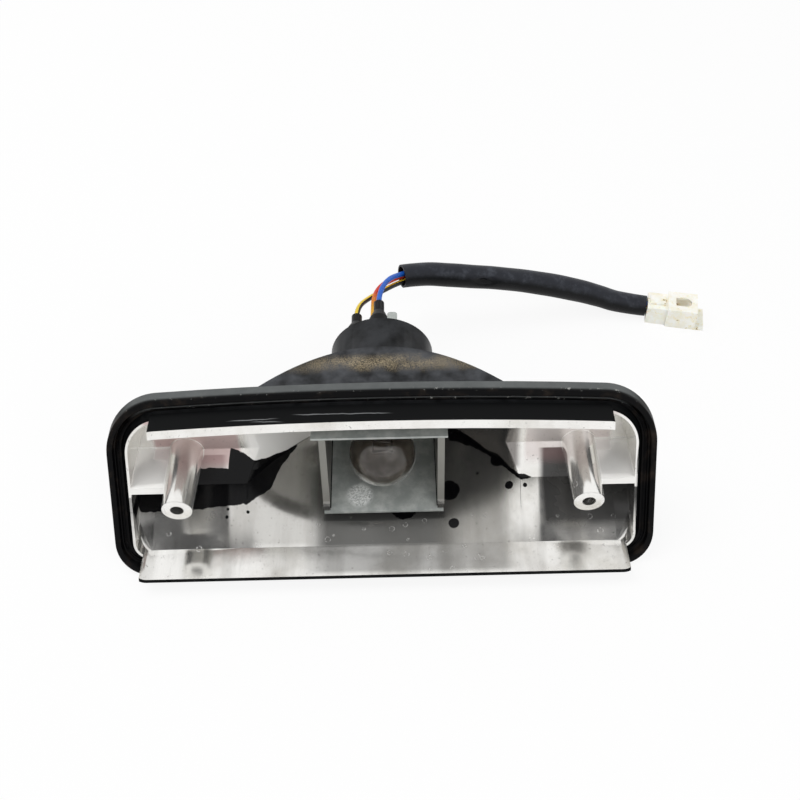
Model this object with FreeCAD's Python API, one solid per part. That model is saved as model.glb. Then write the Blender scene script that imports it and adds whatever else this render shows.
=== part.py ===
import FreeCAD, Part
import math
import os

# Car bumper lamp housing with its lens off: one black moulding, metallised inside, on its rubber
# gasket, with heat shield, two-filament bulb, bulb socket and a short wiring tail.
# Millimetres. X runs along the lamp, Y to the back along the bulb, Z up. The gasket stands on Z = 0
# and the origin is under the middle of the lamp without its wiring.

# Opening and rim
opening_half_width = 91.3
opening_height = 53.0
crown_rise = 2.6
top_corner_radius = 12.0
bottom_corner_radius = 5.0
rake_deg = 34.0
wall = 2.0
rim_edge = 0.9
rim_edge_depth = 1.6
bottom_tongue_reach = 10.0
bottom_tongue_thickness = 1.2
bottom_tongue_half_width = 89.0
bottom_tongue_end_rise = 5.0
top_tongue_reach = 8.0
top_tongue_half_width = 82.0
top_tongue_thickness = 3.0

# Gasket and the flange it sits on
gasket_reach = 7.6
gasket_gap = 0.3
gasket_floor = 1.4
gasket_floor_setback = 2.2
gasket_lip_width = 2.2
gasket_lip_rise = 0.2
gasket_ridge_width = 0.9
gasket_ridge_height = 1.1
gasket_skirt = 1.1
gasket_skirt_width = 1.4
flange_thickness = 2.2

# Reflector, measured behind the lower edge of the rim and above its floor
floor_crease_depth = 2.7
crease_height = 9.5
pocket_depth = 25.4
pocket_kink_height = 21.0
pocket_kink_depth = 33.2
ceiling_depth = 34.0
crease_focal_length = 20.7
ceiling_focal_length = 27.6
bowl_depth = 57.7
bowl_back_wall = 3.3

# Lens screw bosses and the webs beside them
boss_spacing = 146.8
boss_height = 21.0
boss_front = 5.3
boss_tip_radius = 5.4
boss_root_radius = 6.2
screw_hole_radius = 2.4
web_thickness = 2.0

# Bulb
bulb_height = 22.0
bulb_light_centre = 28.7
bulb_radius = 12.5
bulb_shoulder_deg = 50.0
bulb_neck_radius = 6.7
bulb_neck_start = 44.5
bulb_glass_wall = 0.8
cap_radius = 7.5
cap_wall = 0.4
cap_start = 46.5
cap_end = 68.5
pin_depth = 60.5
pin_radius = 1.0
pin_reach = 1.2
contact_radius = 1.6
contact_height = 1.0
contact_spacing = 7.0
stem_radius = 4.6
stem_length = 9.0
stem_pinch_length = 9.0
stem_pinch_thickness = 2.3
lead_radius = 0.35
filament_radius = 0.6
filament_length = 8.0
filament_step = 6.0
filament_rise = 1.15
lead_spacings = (7.0, 4.2)

# Heat shield and the ribs that hold it
rib_inner = 20.0
rib_thickness = 2.5
rib_height = 38.0
rib_front = 15.5
rib_hook_reach = 1.5
rib_hook_height = 2.2
rib_hook_slope = 0.8
rib_top_front = 22.0
sheet = 1.0
sheet_bend = 1.0
sheet_gap = 0.3
shield_front = 13.4
shield_floor_height = 5.5
shield_floor_rise = 3.7
shield_back_clearance = 9.2
shield_roof_front = 22.0
shield_roof_left = 25.2
shield_roof_right = 23.6
shield_hole_radius = 13.5

# Rear collar and bulb socket
collar_radius = 20.5
collar_wall = 3.0
collar_floor_depth = 62.0
collar_end_depth = 80.0
bulb_hole_radius = 14.0
socket_clearance = 0.2
socket_wall = 0.7
socket_front = 52.0
socket_end = 80.0
socket_flange = 1.0
pin_slot_width = 2.6
grommet_length = 11.0
carrier_thickness = 2.0
stud_radius = 1.5
terminal_plate_radius = 14.5
terminal_plate_thickness = 2.5

# Terminals and boots, measured from the bulb axis
blade_width = 6.3
blade_thickness = 0.8
blade_reach = 9.5
ground_place = (-10.5, 1.0)
stop_place = (-1.0, 6.5)
tail_place = (-4.0, -5.5)
tab_place = (4.5, 12.0)
tab_width = 4.0
tab_reach = 9.5
boot_wall = 1.0
boot_slot_gap = 0.2
ribbed_boot_length = 19.0
smooth_boot_length = 21.0
boot_neck_radius = 2.2
boot_rib_count = 5

# Wiring tail
wire_diameter = 2.2
sleeve_diameter = 10.6
sleeve_wall = 0.8
connector_length = 22.0
connector_width = 13.0
connector_height = 10.0
connector_rear_length = 9.0
connector_step = 1.0
connector_wall = 1.2
connector_tab_length = 4.0
connector_tab_thickness = 1.6
latch_width = 5.4
latch_length = 7.0
latch_setback = 2.5
latch_ridge_height = 0.9
connector_pin_radius = 0.9
connector_pin_length = 8.0
connector_turn_deg = 12.0
wire_straight = 13.0
wire_lead_in = 6.0
sleeve_end_gap = 0.6
cord_trim_share = 0.45

# Places worked out from the sizes above
rake = math.radians(rake_deg)
floor_z = gasket_reach * math.cos(rake)
plate_depth = socket_end
shield_back_depth = bowl_depth - shield_back_clearance
blade_start = plate_depth + terminal_plate_thickness
terminal_end = blade_start + max(blade_reach, tab_reach)
rim_y = (bottom_tongue_reach + bottom_tongue_thickness * math.sin(rake) - terminal_end) / 2
ceiling_height = opening_height * math.cos(rake)
axis_z = floor_z + bulb_height
boss_x = boss_spacing / 2
boss_z = floor_z + boss_height
flange_front = gasket_floor_setback + gasket_floor
crown_radius = (opening_half_width ** 2 + crown_rise ** 2) / (2 * crown_rise)
far = 2 * opening_half_width
along = FreeCAD.Vector(0, 1, 0)


def vector(x, y, z):
    return FreeCAD.Vector(x, y, z)


def behind(depth):
    """Y of a plane this far behind the lower edge of the rim."""
    return rim_y + depth


def box(x0, x1, y0, y1, z0, z1):
    return Part.makeBox(x1 - x0, y1 - y0, z1 - z0, vector(x0, y0, z0))


def rod(x, z, radius, start, end):
    """Round bar along the bulb's direction between two depths."""
    return Part.makeCylinder(radius, end - start, vector(x, behind(start), z), along)


def tube(x, z, outer, inner, start, end):
    return rod(x, z, outer, start, end).cut(rod(x, z, inner, start, end))


def turned(points):
    """Solid of revolution about the bulb axis from (depth, radius) pairs."""
    outline = [vector(0, behind(depth), axis_z + radius) for depth, radius in points]
    face = Part.Face(Part.makePolygon(outline + outline[:1]))
    return face.revolve(vector(0, 0, axis_z), along, 360)


def side_plate(points, x0, x1):
    """Plate across the lamp from (depth, height above the floor) pairs."""
    outline = [vector(x0, behind(depth), floor_z + height) for depth, height in points]
    face = Part.Face(Part.makePolygon(outline + outline[:1]))
    return face.extrude(vector(x1 - x0, 0, 0))


def rim_point(across, up, depth):
    """Point on the raked rim plane, moved back by depth."""
    return vector(across, behind(up * math.sin(rake) + depth), floor_z + up * math.cos(rake))


def rim_outline(grow, depth):
    """Rounded rim outline with a crowned top, grown outwards by the given amount."""
    half = opening_half_width + grow
    radius = top_corner_radius + grow
    low_radius = bottom_corner_radius + grow
    top = crown_radius + grow
    top_centre = opening_height - crown_radius
    side = half - radius
    low_side = half - low_radius
    corner_up = top_centre + math.sqrt((top - radius) ** 2 - side ** 2)
    lean = math.atan2(side, corner_up - top_centre)
    touch = (top * math.sin(lean), top_centre + top * math.cos(lean))
    slant = math.radians(45) + lean / 2
    knee = (side + radius * math.sin(slant), corner_up + radius * math.cos(slant))
    low_knee = (low_side + low_radius * math.sqrt(0.5), bottom_corner_radius - low_radius * math.sqrt(0.5))

    def at(across, up):
        return rim_point(across, up, depth)

    edges = [
        Part.LineSegment(at(-low_side, -grow), at(low_side, -grow)),
        Part.Arc(at(low_side, -grow), at(*low_knee), at(half, bottom_corner_radius)),
        Part.LineSegment(at(half, bottom_corner_radius), at(half, corner_up)),
        Part.Arc(at(half, corner_up), at(*knee), at(*touch)),
        Part.Arc(at(*touch), at(0, opening_height + grow), at(-touch[0], touch[1])),
        Part.Arc(at(-touch[0], touch[1]), at(-knee[0], knee[1]), at(-half, corner_up)),
        Part.LineSegment(at(-half, corner_up), at(-half, bottom_corner_radius)),
        Part.Arc(at(-half, bottom_corner_radius), at(-low_knee[0], low_knee[1]), at(-low_side, -grow)),
    ]
    return Part.Wire([edge.toShape() for edge in edges])


def rim_prism(grow, start, length):
    return Part.Face(rim_outline(grow, start)).extrude(vector(0, length, 0))


def rim_ring(outer, inner, start, length):
    return rim_prism(outer, start, length).cut(rim_prism(inner, start, length))


def parabola(half, edge_depth, vertex_depth, z):
    """Plan curve of the reflector bowl; three poles of a quadratic curve give a true parabola."""
    curve = Part.BezierCurve()
    peak = 2 * vertex_depth - edge_depth
    curve.setPoles([
        vector(half, behind(edge_depth), z),
        vector(0, behind(peak), z),
        vector(-half, behind(edge_depth), z),
    ])
    return curve.toShape()


def scoop(grow, back):
    """Reflector space grown by a wall: ramped floor, side pockets and a flared parabolic bowl."""
    front = behind(-far / 4)
    edge_depth = pocket_depth + grow
    vertex = bowl_depth + back
    half = math.sqrt(4 * crease_focal_length * (vertex - edge_depth))
    crease_z = floor_z + crease_height - grow / 2
    lowest = floor_z - grow
    headroom = ceiling_height + crown_rise + 2 * wall
    top_edge = ceiling_depth + grow
    top_half = math.sqrt(4 * ceiling_focal_length * (vertex - top_edge))

    def ramp_plan(z, depth, middle):
        y = behind(depth)
        corners = [vector(-far, front, z), vector(far, front, z), vector(far, y, z),
                   vector(half, y, z), vector(-half, y, z), vector(-far, y, z)]
        sides = [Part.makeLine(a, b) for a, b in zip(corners, corners[1:] + corners[:1])]
        sides[3] = middle
        return Part.Wire(sides)

    def bowl_plan(z, width, depth):
        chord = Part.makeLine(vector(-width, behind(depth), z), vector(width, behind(depth), z))
        return Part.Wire([parabola(width, depth, vertex, z), chord])

    low_depth = floor_crease_depth + grow / 2
    low_y = behind(low_depth)
    low_middle = Part.makeLine(vector(half, low_y, lowest), vector(-half, low_y, lowest))
    crease_middle = parabola(half, edge_depth, vertex, crease_z)
    ramp = Part.makeLoft([ramp_plan(lowest, low_depth, low_middle),
                          ramp_plan(crease_z, edge_depth, crease_middle)], True, True)
    bowl = Part.makeLoft([bowl_plan(crease_z, half, edge_depth),
                          bowl_plan(floor_z + headroom, top_half, top_edge)], True, True)
    pocket = side_plate([
        (-far / 4, crease_height - grow / 2),
        (edge_depth, crease_height - grow / 2),
        (pocket_kink_depth + grow, pocket_kink_height - grow / 2),
        (top_edge, headroom),
        (-far / 4, headroom),
    ], -far, far)
    return ramp.fuse([pocket, bowl]).removeSplitter()


def shield_floor(depth):
    """Height of the shield's sloping floor above the lamp floor."""
    share = (depth - shield_front) / (shield_back_depth - shield_front)
    return shield_floor_height + shield_floor_rise * share


def shield_rib(x0):
    """Upright rib with a small hook at its front that keeps an ear of the heat shield down."""
    hook_low = shield_floor(rib_front) + sheet + sheet_gap
    hook_high = hook_low + rib_hook_height
    return side_plate([
        (rib_front, 0),
        (rib_front, hook_low),
        (rib_front - rib_hook_reach, hook_low),
        (rib_front - rib_hook_reach, hook_high),
        (rib_front, hook_high + rib_hook_slope),
        (rib_top_front, rib_height),
        (bowl_depth, rib_height),
        (bowl_depth, 0),
    ], x0, x0 + rib_thickness)


def lamp_housing():
    space = rim_prism(0, -bottom_tongue_reach, far).common(scoop(0, 0))
    shell = rim_prism(wall, 0, far).common(scoop(wall, bowl_back_wall))
    collar = rod(0, axis_z, collar_radius, bowl_depth - collar_radius / 2, collar_end_depth)
    flange = rim_ring(gasket_reach - gasket_skirt_width, wall / 2, flange_front, flange_thickness)
    tongue_limit = floor_z + bottom_tongue_end_rise
    lower = rim_ring(bottom_tongue_thickness, 0, -bottom_tongue_reach, bottom_tongue_reach).common(
        box(-bottom_tongue_half_width, bottom_tongue_half_width, -far, far, -far, tongue_limit))
    upper = rim_ring(top_tongue_thickness, 0, -top_tongue_reach, top_tongue_reach).common(
        box(-top_tongue_half_width, top_tongue_half_width, -far, far, axis_z, far))
    relief = rim_ring(2 * wall, rim_edge, 0, rim_edge_depth)
    body = shell.cut(relief).fuse([collar, flange]).cut(space).fuse([lower, upper])
    inside = []
    for side in (-1, 1):
        x = side * boss_x
        boss = Part.makeCone(boss_tip_radius, boss_root_radius, pocket_kink_depth - boss_front + wall / 2,
                             vector(x, behind(boss_front), boss_z), along)
        web_x = sorted((x, side * far))
        web_top = boss_z + web_thickness / 2
        web = box(*web_x, -far, far, web_top - web_thickness, web_top)
        rib_x = rib_inner if side > 0 else -rib_inner - rib_thickness
        inside += [boss, web.common(rim_prism(0, 0, far)).common(space), shield_rib(rib_x).common(space)]
    body = body.fuse(inside)
    cuts = [rod(0, axis_z, bulb_hole_radius, bowl_depth - collar_radius / 2, collar_floor_depth)]
    cuts.append(rod(0, axis_z, collar_radius - collar_wall, collar_floor_depth, collar_end_depth))
    for x in (-boss_x, boss_x):
        cuts.append(rod(x, boss_z, screw_hole_radius, boss_front, ceiling_depth + far / 4))
    return body.cut(cuts).removeSplitter()


def rubber_gasket():
    inner = wall + gasket_gap
    seat = rim_ring(gasket_reach, inner, gasket_floor_setback, gasket_floor)
    lip_length = gasket_lip_rise + gasket_floor_setback
    lip = rim_ring(gasket_reach, gasket_reach - gasket_lip_width, -gasket_lip_rise, lip_length)
    skirt = rim_ring(gasket_reach, gasket_reach - gasket_skirt_width, flange_front, gasket_skirt)
    groove = (gasket_reach - gasket_lip_width - inner - gasket_ridge_width) / 2
    ridge_inner = inner + groove
    ridge = rim_ring(ridge_inner + gasket_ridge_width, ridge_inner,
                     gasket_floor_setback - gasket_ridge_height, gasket_ridge_height)
    return seat.fuse([lip, ridge, skirt]).removeSplitter()


def heat_shield():
    """One strip folded into roof, back and sloping floor, with ears that lie under the rib hooks."""
    half = rib_inner - sheet_gap
    front = shield_front
    back = shield_back_depth
    high = rib_height + sheet

    def channel(inset, bend):
        block = side_plate([
            (front, shield_floor(front) + inset),
            (back - inset, shield_floor(back - inset) + inset),
            (back - inset, high - inset),
            (front, high - inset),
        ], -half, half)
        rear = [edge for edge in block.Edges
                if all(abs(v.Y - behind(back - inset)) < sheet / 100 for v in edge.Vertexes)
                and abs(edge.Vertexes[0].X - edge.Vertexes[1].X) > half]
        return block.makeFillet(bend, rear)

    folded = channel(0, sheet_bend + sheet).cut(channel(sheet, sheet_bend))
    roof_z = floor_z + rib_height
    roof_front = behind(shield_roof_front)
    roof_back = behind(back) - 2 * (sheet_bend + sheet)
    roof = box(-shield_roof_left, shield_roof_right, roof_front, roof_back, roof_z, roof_z + sheet)
    folded = folded.cut(box(-far, far, -far, roof_front, roof_z - sheet, roof_z + 2 * sheet))
    ear_end = rib_front - sheet_gap
    ear_half = rib_inner + rib_thickness - sheet_gap
    ears = side_plate([
        (front, shield_floor(front)),
        (ear_end, shield_floor(ear_end)),
        (ear_end, shield_floor(ear_end) + sheet),
        (front, shield_floor(front) + sheet),
    ], -ear_half, ear_half)
    hole = rod(0, axis_z, shield_hole_radius, back - 2 * sheet, back + sheet)
    return folded.fuse([roof, ears]).cut(hole).removeSplitter()


def bulb_body(inset):
    """Pear-shaped bulb envelope: a sphere that runs into a straight neck."""
    radius = bulb_radius - inset
    neck = bulb_neck_radius - inset
    slope = math.radians(bulb_shoulder_deg)
    tip = (bulb_light_centre - radius, 0)
    shoulder = (bulb_light_centre + radius * math.sin(slope), radius * math.cos(slope))
    end = cap_start + stem_length / 2 - inset

    def at(depth, height):
        return vector(0, behind(depth), axis_z + height)

    profile = [
        Part.Arc(at(*tip), at(bulb_light_centre - radius * math.sqrt(0.5), radius * math.sqrt(0.5)),
                 at(bulb_light_centre, radius)).toShape(),
        Part.Arc(at(bulb_light_centre, radius),
                 at(bulb_light_centre + radius * math.sin(slope / 2), radius * math.cos(slope / 2)),
                 at(*shoulder)).toShape(),
        Part.makeLine(at(*shoulder), at(bulb_neck_start, neck)),
        Part.makeLine(at(bulb_neck_start, neck), at(end, neck)),
        Part.makeLine(at(end, neck), at(end, 0)),
        Part.makeLine(at(end, 0), at(*tip)),
    ]
    return Part.Face(Part.Wire(profile)).revolve(vector(0, 0, axis_z), along, 360)


def bulb_glass():
    return bulb_body(0).cut(bulb_body(bulb_glass_wall))


def bulb_cap():
    inner = cap_radius - cap_wall
    cup = tube(0, axis_z, cap_radius, inner, cap_start, cap_end)
    base = rod(0, axis_z, cap_radius - cap_wall / 2, cap_end - 2 * cap_wall, cap_end)
    return cup.fuse(base).removeSplitter()


def bulb_pins():
    """Two bayonet pins at unequal depths, riveted to the cap wall."""
    pins = []
    for side, depth in ((-1, pin_depth), (1, pin_depth - 3 * pin_radius)):
        seat = vector(side * math.sqrt(cap_radius ** 2 - pin_radius ** 2), behind(depth), axis_z)
        pin = Part.makeCylinder(pin_radius, pin_reach, seat, vector(side, 0, 0))
        pins.append(pin.cut(rod(0, axis_z, cap_radius, cap_start, cap_end)))
    return Part.makeCompound(pins)


def bulb_contacts():
    contact_end = cap_end + contact_height
    return Part.makeCompound([
        rod(side * contact_spacing / 2, axis_z, contact_radius, cap_end, contact_end) for side in (-1, 1)
    ])


def bulb_stem():
    """Glass foot inside the neck with a flattened pinch that holds the leads."""
    floor = cap_start + stem_length / 2 - bulb_glass_wall
    tip = floor - stem_length / 2 - stem_pinch_length
    foot_place = vector(0, behind(floor), axis_z)
    foot = Part.makeCone(stem_radius, stem_radius / 2, stem_length, foot_place, -along)
    pinch = box(-stem_radius, stem_radius, behind(tip), behind(tip + stem_pinch_length),
                axis_z - stem_pinch_thickness / 2, axis_z + stem_pinch_thickness / 2)
    return foot.fuse(pinch).removeSplitter()


def bulb_filaments():
    """Two coiled filaments, one behind the other, each carried on two lead wires."""
    start = cap_start - bulb_glass_wall - stem_pinch_length
    pieces = []
    for index, spacing in enumerate(lead_spacings):
        depth = bulb_light_centre + index * filament_step
        z = axis_z + filament_rise * (0.5 - index)
        coil = Part.makeCylinder(filament_radius, filament_length,
                                 vector(-filament_length / 2, behind(depth), z), vector(1, 0, 0))
        leads = [rod(side * spacing / 2, z, lead_radius, depth, start) for side in (-1, 1)]
        pieces.append(coil.fuse(leads).removeSplitter())
    return Part.makeCompound(pieces)


def socket_shell():
    """Drawn steel cup with a seating flange and two straight pin slots."""
    inner = cap_radius + socket_clearance
    outer = inner + socket_wall
    shell = tube(0, axis_z, outer, inner, socket_front, socket_end)
    rim = collar_radius - collar_wall - socket_clearance
    seat = collar_floor_depth
    flange = tube(0, axis_z, rim, outer - socket_wall / 2, seat, seat + socket_flange)
    slot_end = pin_depth + pin_slot_width / 2
    slots = box(-rim, rim, behind(socket_front) - socket_wall, behind(slot_end),
                axis_z - pin_slot_width / 2, axis_z + pin_slot_width / 2)
    slots = slots.common(rod(0, axis_z, outer + socket_wall, socket_front - socket_wall, slot_end))
    return shell.fuse(flange).cut(slots).removeSplitter()


def socket_grommet():
    start = collar_floor_depth + socket_flange
    bore = cap_radius + 2 * socket_clearance + socket_wall
    outer = collar_radius - collar_wall - socket_clearance
    groove = grommet_length / 5
    rings = [(start, bore), (start, outer)]
    for index in (1, 3):
        rings += [(start + index * groove, outer), (start + index * groove, outer - groove / 2),
                  (start + (index + 1) * groove, outer - groove / 2), (start + (index + 1) * groove, outer)]
    rings += [(start + grommet_length, outer), (start + grommet_length, bore)]
    return turned(rings)


def contact_carrier():
    """Insulating disc in the socket that carries the contact studs."""
    start = cap_end + contact_height + contact_height / 2
    disc = rod(0, axis_z, cap_radius, start, start + carrier_thickness)
    return disc.cut([rod(side * contact_spacing / 2, axis_z, stud_radius + socket_clearance, start,
                         start + carrier_thickness) for side in (-1, 1)])


def contact_studs():
    """Two headed studs that carry the bulb's contacts through the carrier to the terminal plate."""
    start = cap_end + contact_height
    carrier = start + contact_height / 2 + carrier_thickness
    studs = []
    for side in (-1, 1):
        x = side * contact_spacing / 2
        pin = rod(x, axis_z, stud_radius, start, plate_depth)
        head = rod(x, axis_z, stud_radius + contact_height / 2, carrier, carrier + contact_height / 2)
        studs.append(pin.fuse(head).removeSplitter())
    return Part.makeCompound(studs)


def terminal_plate():
    return rod(0, axis_z, terminal_plate_radius, plate_depth, blade_start)


def blade(place, width, reach):
    x, height = place
    z = axis_z + height
    return box(x - width / 2, x + width / 2, behind(blade_start), behind(blade_start + reach),
               z - blade_thickness / 2, z + blade_thickness / 2)


def terminal_blades():
    places = (ground_place, stop_place, tail_place)
    return Part.makeCompound([blade(place, blade_width, blade_reach) for place in places])


def ground_tab():
    """Bent steel tab beside the terminals, with a clipped corner."""
    tab = blade(tab_place, tab_width, tab_reach)
    halfway = behind(blade_start + tab_reach / 2)
    tip = [edge for edge in tab.Edges
           if edge.Length < 2 * blade_thickness and edge.CenterOfMass.y > halfway
           and abs(edge.Vertexes[0].Z - edge.Vertexes[1].Z) > blade_thickness / 2]
    return tab.makeFillet(tab_width / 3, tip)


def boot(place, length, ribs):
    """Soft sleeve pushed over a blade, tapering to the wire, ribbed for grip if asked."""
    x, height = place
    z = axis_z + height
    body_radius = blade_width / 2 + boot_wall
    start = blade_start + boot_slot_gap
    body_end = start + blade_reach + boot_wall
    end = start + length
    points = [(start, 0), (start, body_radius)]
    step = (body_end - start) / (2 * ribs + 1) if ribs else 0
    for index in range(ribs):
        near = start + (2 * index + 1) * step
        points += [(near, body_radius), (near, body_radius - boot_wall / 2),
                   (near + step, body_radius - boot_wall / 2), (near + step, body_radius)]
    points += [(body_end, body_radius), ((body_end + end) / 2, boot_neck_radius)]
    points += [(end, boot_neck_radius), (end, 0)]
    outline = [vector(x, behind(depth), z + radius) for depth, radius in points]
    solid = Part.Face(Part.makePolygon(outline + outline[:1])).revolve(vector(x, 0, z), along, 360)
    slot_half_width = blade_width / 2 + boot_slot_gap
    slot_half_height = blade_thickness / 2 + boot_slot_gap
    slot = box(x - slot_half_width, x + slot_half_width, behind(start), behind(start + blade_reach),
               z - slot_half_height, z + slot_half_height)
    return solid.cut(slot)


# Cord routes, points chosen along the real wires. The wires share the sleeve's points, side by side.
sleeve_route = [
    (9, 88, 28),
    (18, 91, 27),
    (35, 91.5, 24.5),
    (56, 93.3, 20.8),
    (78, 94.5, 15.2),
    (97, 94.3, 9.4),
]
wire_leads = {
    "wire_blue": [(2.5, 79, 34.3)],
    "wire_red": [(-3, 76.5, 31.5)],
    "wire_black": [(-5, 77, 26)],
}
wire_shifts = {"wire_blue": (-0.3, 1.8), "wire_red": (1.6, -0.6), "wire_black": (-1.2, -1.6)}
connector_place = (121.5, 89.8)
connector_turn = math.radians(connector_turn_deg)
cord_height = sleeve_diameter / 2


def beside_connector(ahead, across, height):
    """Point ahead of the connector's wire face, across its width and above the ground."""
    x = connector_place[0] + ahead * math.cos(connector_turn) + across * math.sin(connector_turn)
    y = connector_place[1] - ahead * math.sin(connector_turn) + across * math.cos(connector_turn)
    return (x, y, height)


def cord_path(points):
    """Straight runs joined by arcs as large as the runs allow; also returns the arc radii."""
    places = [vector(*point) for point in points]
    edges = []
    radii = []
    last = places[0]
    for before, corner, after in zip(places, places[1:], places[2:]):
        inward = (before - corner).normalize()
        outward = (after - corner).normalize()
        turn = math.pi - inward.getAngle(outward)
        trim = cord_trim_share * min((before - corner).Length, (after - corner).Length)
        radius = trim / math.tan(turn / 2)
        middle = (inward + outward).normalize()
        near = corner + inward * trim
        away = corner + outward * trim
        crest = corner + middle * (radius / math.cos(turn / 2) - radius)
        edges += [Part.LineSegment(last, near).toShape(), Part.Arc(near, crest, away).toShape()]
        radii.append(radius)
        last = away
    edges.append(Part.LineSegment(last, places[-1]).toShape())
    return Part.Wire(edges), radii


def swept(path, radius):
    start = path.Edges[0].Vertexes[0].Point
    heading = path.Edges[0].tangentAt(path.Edges[0].FirstParameter)
    circle = Part.Wire(Part.makeCircle(radius, start, heading))
    return path.makePipeShell([circle], True, False)


def report_cord(name, solid, section, path, radii):
    share = solid.Volume / (section * path.Length)
    print(f"{name}: length {path.Length:.1f}, volume share {share:.4f}, radii "
          + " ".join(f"{radius:.1f}" for radius in radii))


def wire(name, start):
    """One wire from its boot through the sleeve to the connector."""
    across, up = wire_shifts[name]
    lead_in = (start[0], start[1] + wire_lead_in, start[2])
    inside = [(x, y + across, z + up) for x, y, z in sleeve_route]
    height = cord_height + up
    last = [beside_connector(-wire_straight, across, height), beside_connector(0, across, height)]
    path, radii = cord_path([start, lead_in] + wire_leads[name] + inside + last)
    solid = swept(path, wire_diameter / 2)
    report_cord(name, solid, math.pi * wire_diameter ** 2 / 4, path, radii)
    return solid


def harness_sleeve():
    last = [beside_connector(ahead, 0, cord_height) for ahead in (-wire_straight, -sleeve_end_gap)]
    path, radii = cord_path(sleeve_route + last)
    outer = sleeve_diameter / 2
    inner = outer - sleeve_wall
    solid = swept(path, outer).cut(swept(path, inner))
    report_cord("harness_sleeve", solid, math.pi * (outer ** 2 - inner ** 2), path, radii)
    return solid


def turned_connector(shape):
    """Sets a shape drawn along X at the origin onto the connector's place."""
    shape.rotate(vector(0, 0, 0), vector(0, 0, 1), -connector_turn_deg)
    shape.translate(vector(*connector_place, 0))
    return shape


def pin_rods(start, end):
    ahead = vector(1, 0, 0)
    return [
        Part.makeCylinder(connector_pin_radius, end - start, vector(start, across, cord_height + up), ahead)
        for across, up in wire_shifts.values()
    ]


def connector_housing():
    """Nylon plug housing: narrower wire end, wider mating end, open mouth and a latch tab."""
    half = connector_width / 2
    back = connector_rear_length
    tab_end = connector_length + connector_tab_length
    rear = box(0, back, connector_step - half, half - connector_step, 0, connector_height - connector_step)
    front = box(back, connector_length, -half, half, 0, connector_height)
    tab = box(connector_length, tab_end, -half, half, 0, connector_tab_thickness)
    mouth = box(back + connector_wall, connector_length, connector_wall - half, half - connector_wall,
                connector_tab_thickness, connector_height - connector_wall)
    seats = pin_rods(back / 2, back + connector_wall)
    latch_half = latch_width / 2
    latch_end = connector_length - latch_setback - latch_half
    latch_start = latch_end + latch_half - latch_length
    under_roof = connector_height - 2 * connector_wall
    window = box(latch_start, latch_end, -latch_half, latch_half, under_roof, connector_height)
    round_end = Part.makeCylinder(latch_half, 2 * connector_wall, vector(latch_end, 0, under_roof))
    rear_top = connector_height - connector_step
    ridge = box(connector_wall, back - connector_wall, -latch_half, latch_half,
                rear_top - connector_step, rear_top + latch_ridge_height)
    body = rear.fuse([front, tab, ridge]).cut([mouth, window, round_end] + seats)
    return turned_connector(body.removeSplitter())


def connector_pins():
    start = connector_rear_length / 2
    return turned_connector(Part.makeCompound(pin_rods(start, start + connector_pin_length)))


def boot_end(place, length):
    return (place[0], behind(blade_start + boot_slot_gap + length), axis_z + place[1])


nodes = {
    "lamp_housing": lamp_housing(),
    "rubber_gasket": rubber_gasket(),
    "heat_shield": heat_shield(),
    "bulb_glass": bulb_glass(),
    "bulb_cap": bulb_cap(),
    "bulb_pins": bulb_pins(),
    "bulb_contacts": bulb_contacts(),
    "bulb_stem": bulb_stem(),
    "bulb_filaments": bulb_filaments(),
    "socket_shell": socket_shell(),
    "socket_grommet": socket_grommet(),
    "contact_carrier": contact_carrier(),
    "contact_studs": contact_studs(),
    "terminal_plate": terminal_plate(),
    "terminal_blades": terminal_blades(),
    "ground_tab": ground_tab(),
    "boot_ribbed": boot(ground_place, ribbed_boot_length, boot_rib_count),
    "boot_smooth": boot(stop_place, smooth_boot_length, 0),
    "boot_lower": boot(tail_place, ribbed_boot_length, 0),
    "wire_blue": wire("wire_blue", boot_end(stop_place, smooth_boot_length)),
    "wire_red": wire("wire_red", boot_end(tail_place, ribbed_boot_length)),
    "wire_black": wire("wire_black", boot_end(ground_place, ribbed_boot_length)),
    "harness_sleeve": harness_sleeve(),
    "connector_housing": connector_housing(),
    "connector_pins": connector_pins(),
}

os.makedirs("parts", exist_ok=True)
for name, shape in nodes.items():
    shape.exportStep(f"parts/{name}.step")
    print(name, len(shape.Solids), shape.isValid(), round(shape.Volume, 1))
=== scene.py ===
import math

import bmesh
import bpy
import numpy as np
from mathutils import Matrix, Vector


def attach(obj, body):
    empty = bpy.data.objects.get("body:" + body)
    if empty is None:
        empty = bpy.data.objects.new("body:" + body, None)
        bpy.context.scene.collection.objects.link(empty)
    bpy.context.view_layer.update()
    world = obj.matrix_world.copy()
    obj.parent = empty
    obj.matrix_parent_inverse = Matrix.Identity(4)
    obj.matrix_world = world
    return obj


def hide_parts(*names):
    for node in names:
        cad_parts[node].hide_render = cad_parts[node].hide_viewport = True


bl_info = {
    "name": "Tail Lamp Housing Looks",
    "version": (1, 0, 0),
    "blender": (4, 5, 0),
    "location": "View3D > Sidebar > Lamp",
    "description": "Builds the looks of a bumper tail lamp housing around its CAD frame",
    "category": "Object",
}

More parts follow.
